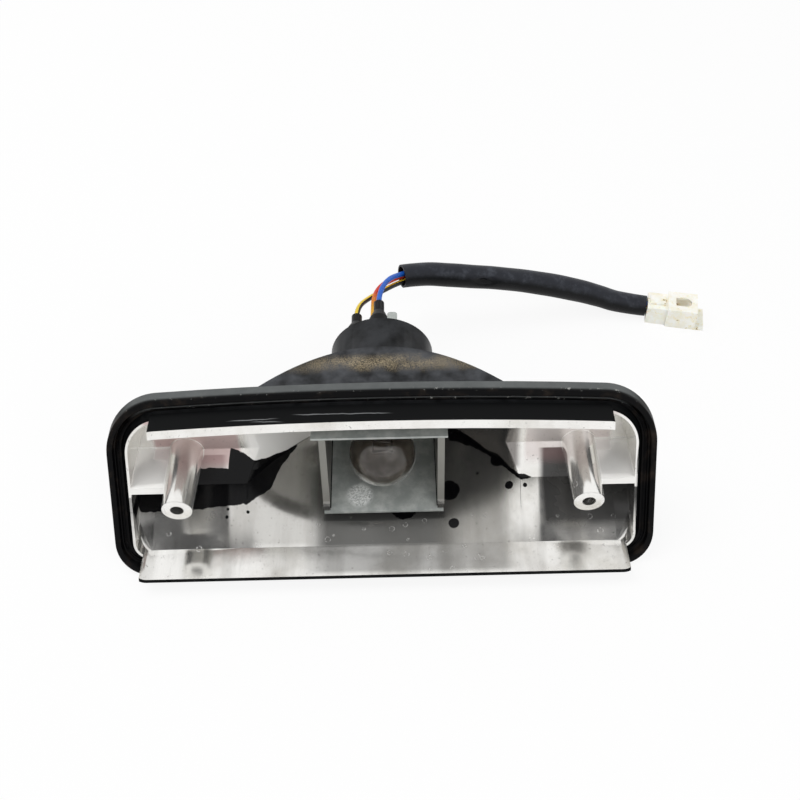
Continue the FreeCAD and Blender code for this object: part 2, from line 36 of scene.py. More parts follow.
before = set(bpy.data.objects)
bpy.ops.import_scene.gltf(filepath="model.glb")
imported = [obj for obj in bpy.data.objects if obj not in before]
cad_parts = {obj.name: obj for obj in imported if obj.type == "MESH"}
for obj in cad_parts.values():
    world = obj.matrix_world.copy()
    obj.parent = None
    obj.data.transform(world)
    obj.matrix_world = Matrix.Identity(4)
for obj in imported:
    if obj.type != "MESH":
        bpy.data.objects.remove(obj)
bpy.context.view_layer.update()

# Places shared with the CAD source, in millimetres
RIM_Y = -40.6645
FLOOR_Z = 6.3007
RAKE = math.radians(34.0)
HALF_WIDTH = 91.3
OPENING = 53.0
CROWN_RISE = 2.6
TOP_RADIUS = 12.0
LOW_RADIUS = 5.0
CREASE_HEIGHT = 9.5
POCKET_DEPTH = 25.4
BOWL_DEPTH = 57.7
CREASE_FOCAL = 20.7
FLOOR_CREASE = 2.7
AXIS_Z = FLOOR_Z + 22.0
BULB_HOLE = 14.0
KINK_HEIGHT = 21.0
KINK_DEPTH = 33.2
CEILING_DEPTH = 34.0
CEILING_FOCAL = 27.6
CREASE_HALF = math.sqrt(4 * CREASE_FOCAL * (BOWL_DEPTH - POCKET_DEPTH))
CEILING_HALF = math.sqrt(4 * CEILING_FOCAL * (BOWL_DEPTH - CEILING_DEPTH))
HEADROOM = OPENING * math.cos(RAKE) + CROWN_RISE + 4.0
BOSS_X = 73.4
BOSS_HEIGHT = 21.0
BOSS_FRONT = 5.3
BOSS_TIP = 5.4
BOSS_ROOT = 6.2
SCREW_HOLE = 2.4
MM = 0.001

# The coating's skin stands this far off the solid, and its shading rounds the corners over these widths
SKIN = 0.03
CORNER_BLEND = 9.0
EDGE_BLEND = 1.5

# Width of the peeled strip above and below the crease by place across, then round spots as place across,
# depth and radius, then rubbed lines as their two ends across, depth and slope. Places across run from
# -SPAN to SPAN, and no strip is wider than WIDEST.
SPAN = 96.0
WIDEST = 20.0
PEEL_ABOVE = [
    (-90, 5), (-66, 5.5), (-58.2, 5), (-57.4, 12), (-51, 9.4), (-45, 4.6), (-37, 0.5), (-33, 0),
    (23, 0), (26, 2.6), (33, 2.4), (40, 1.0), (44, 2.8), (48, 1.0), (53, 1.2), (57, 0),
]
PEEL_BELOW = [
    (-90, 9.5), (-70, 9), (-61, 8), (-53, 7.5), (-47, 9), (-43, 10.5), (-40, 5.2), (-33, 0),
    (23, 0), (26, 4.5), (31, 3.0), (40, 0.9), (44, 1.6), (48, 0.9), (53, 1.1), (57, 0),
]
PEEL_SPOTS = [
    (44.2, 34.5, 2.9), (47.5, 23.6, 1.5), (53.4, 22.6, 0.8), (25.0, 24.0, 3.9), (26.1, 10.6, 2.0),
    (7.4, 18.0, 5.2), (-58.6, 16.4, 0.5), (-58.9, 13.6, 0.6), (-51.1, 15.3, 0.6), (36.0, 30.0, 0.5),
]
RUBBED_LINES = [(-52.0, -38.0, 24.6, 0.02), (-29.0, 2.0, 26.6, -0.015), (-44.0, -36.0, 23.8, -0.05)]

# Where the picture was taken from: degrees down, degrees of roll, lens in mm, then place in mm across, in
# front of the rim and above the floor
PITCH, ROLL, LENS = 48.0, -1.3, 43.02
CAMERA_PLACE = (6.9, 194.5, 299.0)

SLEEVE_ROUTE = [
    (9, 88, 28), (18, 91, 27), (35, 91.5, 24.5), (56, 93.3, 20.8), (78, 94.5, 15.2), (97, 94.3, 9.4),
]
CONNECTOR_PLACE = (121.5, 89.8)
CONNECTOR_TURN = math.radians(12.0)
CORD_HEIGHT = 5.3
TERMINAL_DEPTH = 82.7
WIRE_STRAIGHT = 13.0
WIRES = {
    "wire_blue": {"place": (-1.0, 6.5), "boot": 21.0, "lead": (2.5, 79, 34.3), "shift": (-0.3, 1.8)},
    "wire_red": {"place": (-4.0, -5.5), "boot": 19.0, "lead": (-3, 76.5, 31.5), "shift": (1.6, -0.6)},
    "wire_black": {"place": (-10.5, 1.0), "boot": 19.0, "lead": (-5, 77, 26), "shift": (-1.2, -1.6)},
}


def linear(hex_colour):
    """sRGB hex colour as linear RGBA."""
    value = np.array([int(hex_colour[i:i + 2], 16) for i in (1, 3, 5)]) / 255.0
    rgb = np.where(value <= 0.04045, value / 12.92, ((value + 0.055) / 1.055) ** 2.4)
    return (*rgb.tolist(), 1.0)


# Settings of the common sums, of a soft step between two values, and of a mix of two colours
TIMES, PLUS, MINUS = {"operation": "MULTIPLY"}, {"operation": "ADD"}, {"operation": "SUBTRACT"}
SMOOTH = {"interpolation_type": "SMOOTHSTEP"}
COLOURS = {"data_type": "RGBA", "out": 2}


def add(tree, kind, inputs=(), out=0, **settings):
    """Adds one shader node with its settings, links or fills its inputs, and gives one of its outputs."""
    node = tree.nodes.new("ShaderNode" + kind)
    for key, value in settings.items():
        setattr(node, key, value)
    for key, value in inputs.items() if isinstance(inputs, dict) else enumerate(inputs):
        if isinstance(value, bpy.types.NodeSocket):
            tree.links.new(value, node.inputs[key])
        else:
            node.inputs[key].default_value = value
    return node.outputs[out] if node.outputs else None


def new_material(name):
    """Material with an empty node tree, and the object position in millimetres."""
    material = bpy.data.materials.new(name)
    material.use_nodes = True
    tree = material.node_tree
    tree.nodes.clear()
    place = add(tree, "TexCoord", out="Object")
    position = add(tree, "VectorMath", {0: place, "Scale": 1000.0}, operation="SCALE")
    return material, tree, position


def finish_material(material, tree, surface):
    """Links the shader to the material's output."""
    add(tree, "OutputMaterial", {"Surface": surface})
    return material


def distance(tree, across, along, middle_across, middle_along):
    """Distance of a place in a plane from a middle."""
    dx = add(tree, "Math", (across, middle_across), **MINUS)
    dy = add(tree, "Math", (along, middle_along), **MINUS)
    squares = add(tree, "Math", (dy, dy, add(tree, "Math", (dx, dx), **TIMES)), operation="MULTIPLY_ADD")
    return add(tree, "Math", (squares,), operation="SQRT")


def seen_share(tree):
    """Light Path outputs, and 1 for the rays that show a surface rather than light it."""
    ray = add(tree, "LightPath").node.outputs
    mirrored = add(tree, "Math", (ray["Is Glossy Ray"], ray["Is Transmission Ray"]), operation="MAXIMUM")
    return ray, add(tree, "Math", (ray["Is Camera Ray"], mirrored), operation="MAXIMUM")


def overlaid(tree, colour, layers):
    """A colour with others laid over it in turn, each by a share times a strength."""
    for share, strength, hex_colour in layers:
        colour = add(tree, "Mix", {
            0: add(tree, "Math", (share, strength), **TIMES), 6: colour, 7: linear(hex_colour),
        }, **COLOURS)
    return colour


def scratches(tree, x, y, cloud):
    """Three thin rubbed lines on the top tongue, each |y - y0 - slope (x - x0)| under a hair's width."""
    total = 0.0
    for low, high, start, slope in RUBBED_LINES:
        line = add(tree, "Math", (
            add(tree, "Math", (x, low), **MINUS), slope, RIM_Y + start,
        ), operation="MULTIPLY_ADD")
        line = add(tree, "Math", (cloud, 1.5, line), operation="MULTIPLY_ADD")
        off = add(tree, "Math", (add(tree, "Math", (y, line), **MINUS),), operation="ABSOLUTE")
        mark = add(tree, "MapRange", (off, 0.05, 0.28, 1.0, 0.0), **SMOOTH)
        total = add(tree, "Math", (
            total, add(tree, "Math", (mark, between(tree, x, low, high, 3.0)), **TIMES),
        ), operation="MAXIMUM")
    return add(tree, "Math", (total, 0.6), **TIMES)


def black_moulding():
    """Black moulded polypropylene, dusty on top, with a tan dirt line on the rear bulge."""
    material, tree, position = new_material("moulded_black_plastic")
    x, y, _ = add(tree, "SeparateXYZ", (position,)).node.outputs
    normal = add(tree, "SeparateXYZ", (add(tree, "NewGeometry", out="Normal"),)).node.outputs
    # Moulding grain is about 0.2 mm wide; it is drawn 0.9 mm wide, the finest that shows
    grain = add(tree, "TexNoise", {"Vector": position, "Scale": 1 / 0.909, "Detail": 6.0, "Roughness": 0.7})
    cloud = add(tree, "TexNoise", {"Vector": position, "Scale": 1 / 8.33, "Detail": 3.0, "Roughness": 0.55})
    up = add(tree, "MapRange", (normal[2], 0.2, 0.95), **SMOOTH)
    behind = add(tree, "MapRange", (y, RIM_Y + 30, RIM_Y + 40), **SMOOTH)
    dust = add(tree, "Math", (
        add(tree, "Math", (up, behind), **TIMES), add(tree, "MapRange", (cloud, 0.2, 0.75), **SMOOTH),
    ), **TIMES)
    dust = add(tree, "Math", (
        dust,
        add(tree, "Math", (
            1.0, add(tree, "MapRange", (y, RIM_Y + 58, RIM_Y + 63, 0.0, 0.6), **SMOOTH),
        ), **MINUS),
    ), **TIMES)
    line = add(tree, "Math", (
        add(tree, "Math", (y, add(tree, "Math", (cloud, 4.0, 10.0), operation="MULTIPLY_ADD")), **MINUS),
    ), operation="ABSOLUTE")
    band = add(tree, "MapRange", (line, 0.6, 5.5, 1.0, 0.0), **SMOOTH)
    smear = add(tree, "Math", (
        add(tree, "MapRange", (
            add(tree, "TexNoise", {"Vector": position, "Scale": 1 / 10.0, "Detail": 3.0, "Roughness": 0.5}),
            0.25, 0.6,
        ), **SMOOTH),
        add(tree, "MapRange", (
            add(tree, "TexNoise", {
                "Vector": position, "Scale": 1 / 0.417, "Detail": 4.0, "Roughness": 0.6,
            }),
            0.34, 0.64,
        ), **SMOOTH),
    ), **TIMES)
    band = add(tree, "Math", (add(tree, "Math", (band, up), **TIMES), smear), **TIMES)
    near = add(tree, "MapRange", (
        add(tree, "Math", (add(tree, "Math", (x, 6.0), **MINUS),), operation="ABSOLUTE"), 20.0, 42.0, 1.0,
        0.0,
    ), **SMOOTH)
    tan = add(tree, "Math", (near, 0.5, 0.3), operation="MULTIPLY_ADD")
    colour = overlaid(tree, linear("#08090a"), (
        (dust, 0.7, "#606266"), (band, tan, "#a8997c"), (scratches(tree, x, y, cloud), up, "#9a9c9e"),
    ))
    shader = add(tree, "BsdfPrincipled", {
        "Base Color": colour, "Roughness": add(tree, "Math", (dust, 0.35, 0.34), operation="MULTIPLY_ADD"),
        "Specular IOR Level": 0.08,
        "Normal": add(tree, "Bump", {"Height": grain, "Strength": 0.12, "Distance": 0.0002}),
    })
    return finish_material(material, tree, shader)


def crease_depth(tree, x):
    """Depth of the reflector's crease at x: the parabola, or the flat pocket wall beside it."""
    curve = add(tree, "Math", (
        BOWL_DEPTH,
        add(tree, "Math", (add(tree, "Math", (x, x), **TIMES), 4 * CREASE_FOCAL), operation="DIVIDE"),
    ), **MINUS)
    return add(tree, "Math", (curve, POCKET_DEPTH), operation="MAXIMUM")


def ramp_of(tree, x, stops, scale):
    """Piecewise linear width over x, from (x, width) stops between -SPAN and SPAN."""
    share = add(tree, "Math", (add(tree, "Math", (x, SPAN), **PLUS), 2 * SPAN), operation="DIVIDE")
    width = add(tree, "ValToRGB", {0: share})
    elements = width.node.color_ramp.elements
    while len(elements) < len(stops):
        elements.new(0.5)
    for element, (at, size) in zip(elements, sorted(stops)):
        element.position = (at + SPAN) / (2 * SPAN)
        element.color = (size / scale, size / scale, size / scale, 1.0)
    return add(tree, "Math", (width, scale), **TIMES)


def peeled(tree, position):
    """Where the coating has come off: along the crease, and in round spots on the ramp."""
    wobble = add(tree, "TexNoise", {"Vector": position, "Scale": 1 / 2.86, "Detail": 4.0, "Roughness": 0.6})
    x, y, z = add(tree, "SeparateXYZ", (position,)).node.outputs
    offset = add(tree, "Math", (add(tree, "Math", (wobble, 0.5), **MINUS), 5.0), **TIMES)
    depth = add(tree, "Math", (y, RIM_Y), **MINUS)
    ahead = add(tree, "Math", (crease_depth(tree, x), depth), **MINUS)
    above = add(tree, "Math", (z, FLOOR_Z + CREASE_HEIGHT), **MINUS)
    high = ramp_of(tree, x, PEEL_ABOVE, WIDEST)
    low = ramp_of(tree, x, PEEL_BELOW, WIDEST)
    wall_peel = add(tree, "Math", (
        add(tree, "Math", (offset, 0.35, high), operation="MULTIPLY_ADD"), above,
    ), **MINUS)
    ramp_peel = add(tree, "Math", (
        add(tree, "Math", (offset, 0.5, low), operation="MULTIPLY_ADD"), ahead,
    ), **MINUS)
    some = add(tree, "MapRange", (add(tree, "Math", (high, low), **PLUS), 0.3, 1.0), **SMOOTH)
    on_wall = add(tree, "MapRange", (above, -0.05, 0.05), **SMOOTH)
    both = add(tree, "Mix", {0: on_wall, 2: ramp_peel, 3: wall_peel}, data_type="FLOAT")
    mask = add(tree, "Math", (add(tree, "MapRange", (both, -0.12, 0.12), **SMOOTH), some), **TIMES)
    mask = add(tree, "Math", (mask, add(tree, "MapRange", (depth, 9.0, 11.0), **SMOOTH)), **TIMES)
    for at_x, at_depth, radius in PEEL_SPOTS:
        reach = distance(tree, x, depth, at_x, at_depth)
        edge = add(tree, "Math", (
            add(tree, "Math", (offset, 0.09 * radius, radius), operation="MULTIPLY_ADD"), reach,
        ), **MINUS)
        spot = add(tree, "Math", (
            add(tree, "MapRange", (edge, -0.1, 0.1), **SMOOTH),
            add(tree, "Math", (above, 0.3), operation="LESS_THAN"),
        ), **TIMES)
        mask = add(tree, "Math", (mask, spot), operation="MAXIMUM")
    return mask


def between(tree, value, low, high, soft):
    """1 where a value lies between two limits, with soft ends."""
    return add(tree, "Math", (
        add(tree, "MapRange", (value, low - soft, low + soft), **SMOOTH),
        add(tree, "MapRange", (value, high - soft, high + soft, 1.0, 0.0), **SMOOTH),
    ), **TIMES)


def tarnish_and_painted_reflections(tree, position, colour):
    """Coating colour with painted reflections as streaks, grey and dark patches and near-black pocket
    sides, with grey ribs and pinkish places, and its extra roughness and milky share, part of it a painted
    highlight.
    """
    x, y, z = add(tree, "SeparateXYZ", (position,)).node.outputs
    aside = add(tree, "Math", (x,), operation="ABSOLUTE")
    depth = add(tree, "Math", (y, RIM_Y), **MINUS)
    above = add(tree, "Math", (z, FLOOR_Z + CREASE_HEIGHT), **MINUS)
    wall = add(tree, "MapRange", (above, 0.0, 1.0), **SMOOTH)
    ramp = add(tree, "Math", (1.0, wall), **MINUS)
    # Painted reflection streaks 8 mm wide, 71 mm long and 50 mm high
    stretched = add(tree, "VectorMath", {
        0: position, 1: (1 / 8.33, 1 / 71.4, 1 / 50.0),
    }, operation="MULTIPLY")
    reflection_streak = add(tree, "MapRange", (
        add(tree, "TexNoise", {"Vector": stretched, "Scale": 1.0, "Detail": 3.0, "Roughness": 0.5}), 0.42,
        0.66,
    ), **SMOOTH)
    # Painted reflections: the ramp's middle, its right part and the right back wall are greyed to stand for
    # dark things mirrored in the coating
    middle = add(tree, "Math", (between(tree, x, -26.0, 26.0, 5.0), ramp), **TIMES)
    right = add(tree, "Math", (between(tree, x, 20.0, 46.0, 3.0), ramp), **TIMES)
    from_boss = distance(tree, aside, z, BOSS_X, FLOOR_Z + BOSS_HEIGHT)
    boss = add(tree, "MapRange", (from_boss, 6.2, 6.5, 1.0, 0.0), **SMOOTH)
    deep = add(tree, "Math", (
        add(tree, "MapRange", (depth, 27.0, 28.5), **SMOOTH), add(tree, "Math", (1.0, boss), **MINUS),
    ), **TIMES)
    back = add(tree, "Math", (
        between(tree, x, 22.0, 51.0, 1.5), add(tree, "Math", (wall, deep), **TIMES),
    ), **TIMES)
    rib = add(tree, "Math", (
        between(tree, aside, 19.0, 28.5, 0.4), between(tree, depth, -5.0, 42.0, 0.5),
    ), **TIMES)
    rib = add(tree, "Math", (rib, between(tree, above, 0.5, 30.0, 0.5)), **TIMES)
    middle_reflection_strength = add(tree, "Math", (
        add(tree, "MapRange", (depth, -10.2, -7.6, 0.0, 0.55), **SMOOTH),
        add(tree, "MapRange", (depth, 1.5, 3.5, 0.0, 0.4), **SMOOTH),
    ), **PLUS)
    right = add(tree, "Math", (right, add(tree, "MapRange", (depth, -10.2, -7.6), **SMOOTH)), **TIMES)
    # Painted reflection: the left part of the ramp is greyed as well
    grey = add(tree, "Math", (
        between(tree, x, -58.0, -27.0, 4.0), add(tree, "MapRange", (depth, 1.5, 5.0), **SMOOTH),
    ), **TIMES)
    grey = add(tree, "Math", (grey, ramp), **TIMES)
    # Painted shade and dark reflection: the pocket ramps beside the bosses go near black, more on the right
    low = add(tree, "Math", (
        between(tree, above, -9.4, 9.6, 0.2), add(tree, "Math", (1.0, boss), **MINUS),
    ), **TIMES)
    painted_shade_and_reflection = add(tree, "Math", (
        add(tree, "Math", (add(tree, "MapRange", (aside, 58.0, 61.0), **SMOOTH), low), **TIMES),
        add(tree, "MapRange", (depth, 4.0, 11.0), **SMOOTH),
    ), **TIMES)
    side = add(tree, "Math", (
        add(tree, "Math", (x, 0.0), operation="GREATER_THAN"), 0.37, 0.58,
    ), operation="MULTIPLY_ADD")
    pocket = add(tree, "Math", (
        between(tree, aside, 53.5, 85.0, 1.0), add(tree, "MapRange", (above, 3.0, 8.0), **SMOOTH),
    ), **TIMES)
    pocket = add(tree, "Math", (pocket, deep), **TIMES)
    left = add(tree, "Math", (
        add(tree, "Math", (x, 0.0), operation="LESS_THAN"), 0.36, 0.22,
    ), operation="MULTIPLY_ADD")
    # The painted reflection streaks lie on the ramp only
    reflection_streak = add(tree, "Math", (reflection_streak, ramp), **TIMES)
    # Layers: painted reflection streaks, painted dark reflections in the middle, right, left and back,
    # painted shade at the pocket sides, grey ribs, pinkish pocket tint
    colour = overlaid(tree, colour, (
        (reflection_streak, 0.3, "#8d8a84"), (middle, middle_reflection_strength, "#4c4c4a"), (right, 0.6, "#6f6d68"),
        (grey, 0.45, "#96938d"), (back, 0.85, "#6c6663"), (painted_shade_and_reflection, side, "#1a1a1c"), (rib, 0.95, "#7b7a74"),
        (pocket, left, "#b98a8a"),
    ))
    dull = add(tree, "Math", (
        pocket, 0.25, add(tree, "Math", (rib, 0.3), **TIMES),
    ), operation="MULTIPLY_ADD")
    dull = add(tree, "Math", (painted_shade_and_reflection, 0.05, dull), operation="MULTIPLY_ADD")
    web = add(tree, "Math", (
        add(tree, "MapRange", (aside, 77.0, 78.5), **SMOOTH), between(tree, above, 9.5, 13.5, 0.3),
    ), **TIMES)
    # Painted highlight: a white film on the left bowl wall stands in for a bright glare
    pale = add(tree, "Math", (
        between(tree, x, -51.0, -24.0, 2.0), add(tree, "Math", (wall, deep), **TIMES),
    ), **TIMES)
    milky = add(tree, "Math", (
        pale, 0.8, add(tree, "Math", (web, 0.65), **TIMES),
    ), operation="MULTIPLY_ADD")
    milky = add(tree, "Math", (
        between(tree, from_boss, 4.7, 6.35, 0.15), 0.1, milky,
    ), operation="MULTIPLY_ADD")
    return colour, dull, milky


def mirror_coating(clean):
    """Vacuum-metallised aluminium under lacquer: hazy, spotted, greyed in places by painted reflections,
    and peeled to black plastic in places.
    """
    material, tree, position = new_material("metallised_reflector")
    y = add(tree, "SeparateXYZ", (position,)).node.outputs[1]
    haze = add(tree, "TexNoise", {"Vector": position, "Scale": 1 / 28.6, "Detail": 4.0, "Roughness": 0.6})
    fine = add(tree, "TexNoise", {"Vector": position, "Scale": 1 / 1.11, "Detail": 5.0, "Roughness": 0.7})
    cells = add(tree, "TexVoronoi", {"Vector": position, "Scale": 1 / 6.25}, out="Distance")
    drops = add(tree, "MapRange", (
        add(tree, "Math", (add(tree, "Math", (cells, 0.17), **MINUS),), operation="ABSOLUTE"), 0.01, 0.04,
        1.0, 0.0,
    ), **SMOOTH)
    low = add(tree, "MapRange", (add(tree, "Math", (y, RIM_Y), **MINUS), 8.0, 16.0, 1.0, 0.0), **SMOOTH)
    drops = add(tree, "Math", (
        add(tree, "Math", (drops, low), **TIMES), add(tree, "MapRange", (fine, 0.45, 0.6), **SMOOTH),
    ), **TIMES)
    rough = add(tree, "Math", (0.1, add(tree, "MapRange", (haze, 0.35, 0.7, 0.0, 0.16), **SMOOTH)), **PLUS)
    rough = add(tree, "Math", (drops, 0.25, rough), operation="MULTIPLY_ADD")
    colour = add(tree, "Mix", {
        0: add(tree, "MapRange", (haze, 0.4, 0.75), **SMOOTH), 6: clean, 7: linear("#dcd9d2"),
    }, **COLOURS)
    # Painted reflections and a painted highlight come in with the tarnish layers
    colour, dulled, milky = tarnish_and_painted_reflections(tree, position, colour)
    rough = add(tree, "Math", (rough, dulled), **PLUS)
    colour = overlaid(tree, colour, (
        (add(tree, "MapRange", (fine, 0.62, 0.69), **SMOOTH), 0.6, "#4a463f"),
    ))
    metal = add(tree, "BsdfPrincipled", {
        "Base Color": colour, "Roughness": rough, "Metallic": 1.0,
        "Normal": add(tree, "Bump", {"Height": haze, "Strength": 0.06, "Distance": 0.0012}),
    })
    film = add(tree, "BsdfDiffuse", {"Color": linear("#f2f1ee")})
    filmed = add(tree, "Math", (
        drops, 0.3, add(tree, "Math", (0.045, milky), **PLUS),
    ), operation="MULTIPLY_ADD")
    dull = add(tree, "MixShader", {0: filmed, 1: metal, 2: film})
    bare = add(tree, "BsdfPrincipled", {
        "Base Color": linear("#08080a"), "Roughness": 0.2, "Specular IOR Level": 0.18,
    })
    both = add(tree, "MixShader", {0: peeled(tree, position), 1: dull, 2: bare})
    return finish_material(material, tree, both)


def weathered_rubber():
    """EPDM gasket rubber: black, greyed where it faces up, with pale chips along the lip."""
    material, tree, position = new_material("weathered_rubber")
    _, y, z = add(tree, "SeparateXYZ", (position,)).node.outputs
    normal = add(tree, "SeparateXYZ", (add(tree, "NewGeometry", out="Normal"),)).node.outputs
    cloud = add(tree, "TexNoise", {"Vector": position, "Scale": 1 / 6.67, "Detail": 4.0, "Roughness": 0.6})
    # Rubber grain of about 0.1 mm is drawn 0.6 mm wide, the finest that shows
    grain = add(tree, "TexNoise", {"Vector": position, "Scale": 1 / 0.625, "Detail": 5.0, "Roughness": 0.7})
    behind = add(tree, "Math", (
        add(tree, "Math", (add(tree, "Math", (y, RIM_Y), **MINUS), math.cos(RAKE)), **TIMES),
        add(tree, "Math", (add(tree, "Math", (z, FLOOR_Z), **MINUS), math.sin(RAKE)), **TIMES),
    ), **MINUS)
    lip = add(tree, "Math", (
        between(tree, behind, 0.2, 1.3, 0.3), add(tree, "MapRange", (z, 48.0, 53.0), **SMOOTH),
    ), **TIMES)
    chips = add(tree, "Math", (
        add(tree, "MapRange", (
            add(tree, "TexNoise", {"Vector": position, "Scale": 1 / 2.5, "Detail": 6.0, "Roughness": 0.75}),
            0.6, 0.64,
        ), **SMOOTH),
        lip,
    ), **TIMES)
    high = add(tree, "Math", (
        add(tree, "MapRange", (z, 48.0, 53.5), **SMOOTH),
        add(tree, "MapRange", (normal[2], 0.62, 0.94), **SMOOTH),
    ), **TIMES)
    high = add(tree, "Math", (high, add(tree, "MapRange", (behind, 0.4, 1.5), **SMOOTH)), **TIMES)
    grey = add(tree, "Math", (
        high, add(tree, "Math", (cloud, 0.5, 0.55), operation="MULTIPLY_ADD"),
    ), **TIMES)
    side = add(tree, "MapRange", (cloud, 0.5, 0.75, 0.0, 0.4), **SMOOTH)
    colour = overlaid(tree, linear("#050506"), (
        (side, 1.0, "#3a3028"), (grey, 1.0, "#6a6d6d"), (chips, 0.7, "#b8b8b4"),
    ))
    shader = add(tree, "BsdfPrincipled", {
        "Base Color": colour, "Roughness": add(tree, "Math", (grey, 0.3, 0.4), operation="MULTIPLY_ADD"),
        "Specular IOR Level": 0.09,
        "Normal": add(tree, "Bump", {"Height": grain, "Strength": 0.15, "Distance": 0.0002}),
    })
    return finish_material(material, tree, shader)


def zinc_plate():
    """Zinc-plated sheet steel: dull grey green, mottled, with a pale worn patch on the floor plate."""
    material, tree, position = new_material("zinc_plated_steel")
    x, y, z = add(tree, "SeparateXYZ", (position,)).node.outputs
    cloud = add(tree, "TexNoise", {"Vector": position, "Scale": 1 / 6.25, "Detail": 5.0, "Roughness": 0.65})
    # Plating crystals of about 0.1 mm are drawn 0.7 mm wide, the finest that show
    fine = add(tree, "TexNoise", {"Vector": position, "Scale": 1 / 0.714, "Detail": 4.0, "Roughness": 0.7})
    reach = distance(tree, x, y, -9.0, RIM_Y + 20.4)
    worn = add(tree, "MapRange", (
        add(tree, "Math", (fine, 3.0, reach), operation="MULTIPLY_ADD"), 5.4, 7.4, 1.0, 0.0,
    ), **SMOOTH)
    worn = add(tree, "Math", (worn, add(tree, "MapRange", (fine, 0.36, 0.6), **SMOOTH)), **TIMES)
    worn = add(tree, "Math", (worn, add(tree, "Math", (z, FLOOR_Z + 30.0), operation="LESS_THAN")), **TIMES)
    specks = add(tree, "MapRange", (
        add(tree, "TexNoise", {"Vector": position, "Scale": 1 / 1.25, "Detail": 5.0, "Roughness": 0.7}),
        0.66, 0.72,
    ), **SMOOTH)
    colour = overlaid(tree, linear("#a3a8a5"), (
        (add(tree, "MapRange", (cloud, 0.35, 0.7), **SMOOTH), 1.0, "#c3c7c3"),
        (worn, 1.0, "#f0f2f0"), (specks, 0.5, "#50524c"),
    ))
    rough = add(tree, "Math", (cloud, 0.2, 0.42), operation="MULTIPLY_ADD")
    shader = add(tree, "BsdfPrincipled", {
        "Base Color": colour, "Roughness": add(tree, "Math", (worn, 0.3, rough), operation="MULTIPLY_ADD"),
        "Metallic": 0.4,
        "Normal": add(tree, "Bump", {"Height": fine, "Strength": 0.08, "Distance": 0.0002}),
    })
    return finish_material(material, tree, shader)


def plain(name, base, roughness, metallic=0.0, shine=0.5):
    """One-colour material with light mottling from real-size noise."""
    material, tree, position = new_material(name)
    cloud = add(tree, "TexNoise", {"Vector": position, "Scale": 1 / 3.33, "Detail": 4.0, "Roughness": 0.6})
    darker = (base[0] * 0.72, base[1] * 0.72, base[2] * 0.72, 1.0)
    colour = add(tree, "Mix", {
        0: add(tree, "MapRange", (cloud, 0.35, 0.7), **SMOOTH), 6: base, 7: darker,
    }, **COLOURS)
    shader = add(tree, "BsdfPrincipled", {
        "Base Color": colour, "Roughness": roughness, "Metallic": metallic, "Specular IOR Level": shine,
    })
    return finish_material(material, tree, shader)


def clear_glass():
    """Soda-lime bulb glass with a thin brown film inside, and a painted white highlight round its rim."""
    material, tree, position = new_material("clear_bulb_glass")
    cloud = add(tree, "TexNoise", {"Vector": position, "Scale": 1 / 8.33, "Detail": 3.0, "Roughness": 0.55})
    glass = add(tree, "BsdfPrincipled", {
        "Base Color": linear("#f3efea"), "Roughness": 0.02, "IOR": 1.5, "Transmission Weight": 1.0,
    })
    film = add(tree, "BsdfDiffuse", {"Color": linear("#46392f")})
    amount = add(tree, "Math", (
        0.06, add(tree, "MapRange", (cloud, 0.3, 0.7, 0.0, 0.16), **SMOOTH),
    ), **PLUS)
    body = add(tree, "MixShader", {0: amount, 1: glass, 2: film})
    # Painted highlight: the glass turns white where it is seen edge-on
    painted_rim_highlight = add(tree, "MapRange", (
        add(tree, "LayerWeight", {"Blend": 0.5}, out="Facing"), 0.66, 0.9,
    ), **SMOOTH)
    edge = add(tree, "BsdfPrincipled", {"Base Color": linear("#f4f4f2"), "Roughness": 0.12})
    surface = add(tree, "MixShader", {0: add(tree, "Math", (painted_rim_highlight, 0.35), **TIMES), 1: body, 2: edge})
    return finish_material(material, tree, surface)


def striped_wire(name, hex_colour, hex_stripe):
    """PVC wire insulation with a lengthwise stripe, placed by the tube's own UV."""
    material, tree, _ = new_material(name)
    around = add(tree, "SeparateXYZ", (add(tree, "UVMap", uv_map="along"),)).node.outputs[1]
    stripe = add(tree, "MapRange", (
        add(tree, "Math", (add(tree, "Math", (around, 0.3), **MINUS),), operation="ABSOLUTE"), 0.1, 0.12,
        1.0, 0.0,
    ), **SMOOTH)
    colour = add(tree, "Mix", {0: stripe, 6: linear(hex_colour), 7: linear(hex_stripe)}, **COLOURS)
    shader = add(tree, "BsdfPrincipled", {"Base Color": colour, "Roughness": 0.38})
    return finish_material(material, tree, shader)


def shaded_wire():
    """Red PVC wire that is faded through orange to yellow at its boot end."""
    material, tree, _ = new_material("wire_red_pvc")
    along = add(tree, "SeparateXYZ", (add(tree, "UVMap", uv_map="along"),)).node.outputs[0]
    colour = overlaid(tree, linear("#f4b83c"), (
        (add(tree, "MapRange", (along, 0.06, 0.09), **SMOOTH), 1.0, "#ec8a35"),
        (add(tree, "MapRange", (along, 0.085, 0.115), **SMOOTH), 1.0, "#d2402e"),
    ))
    shader = add(tree, "BsdfPrincipled", {"Base Color": colour, "Roughness": 0.38})
    return finish_material(material, tree, shader)


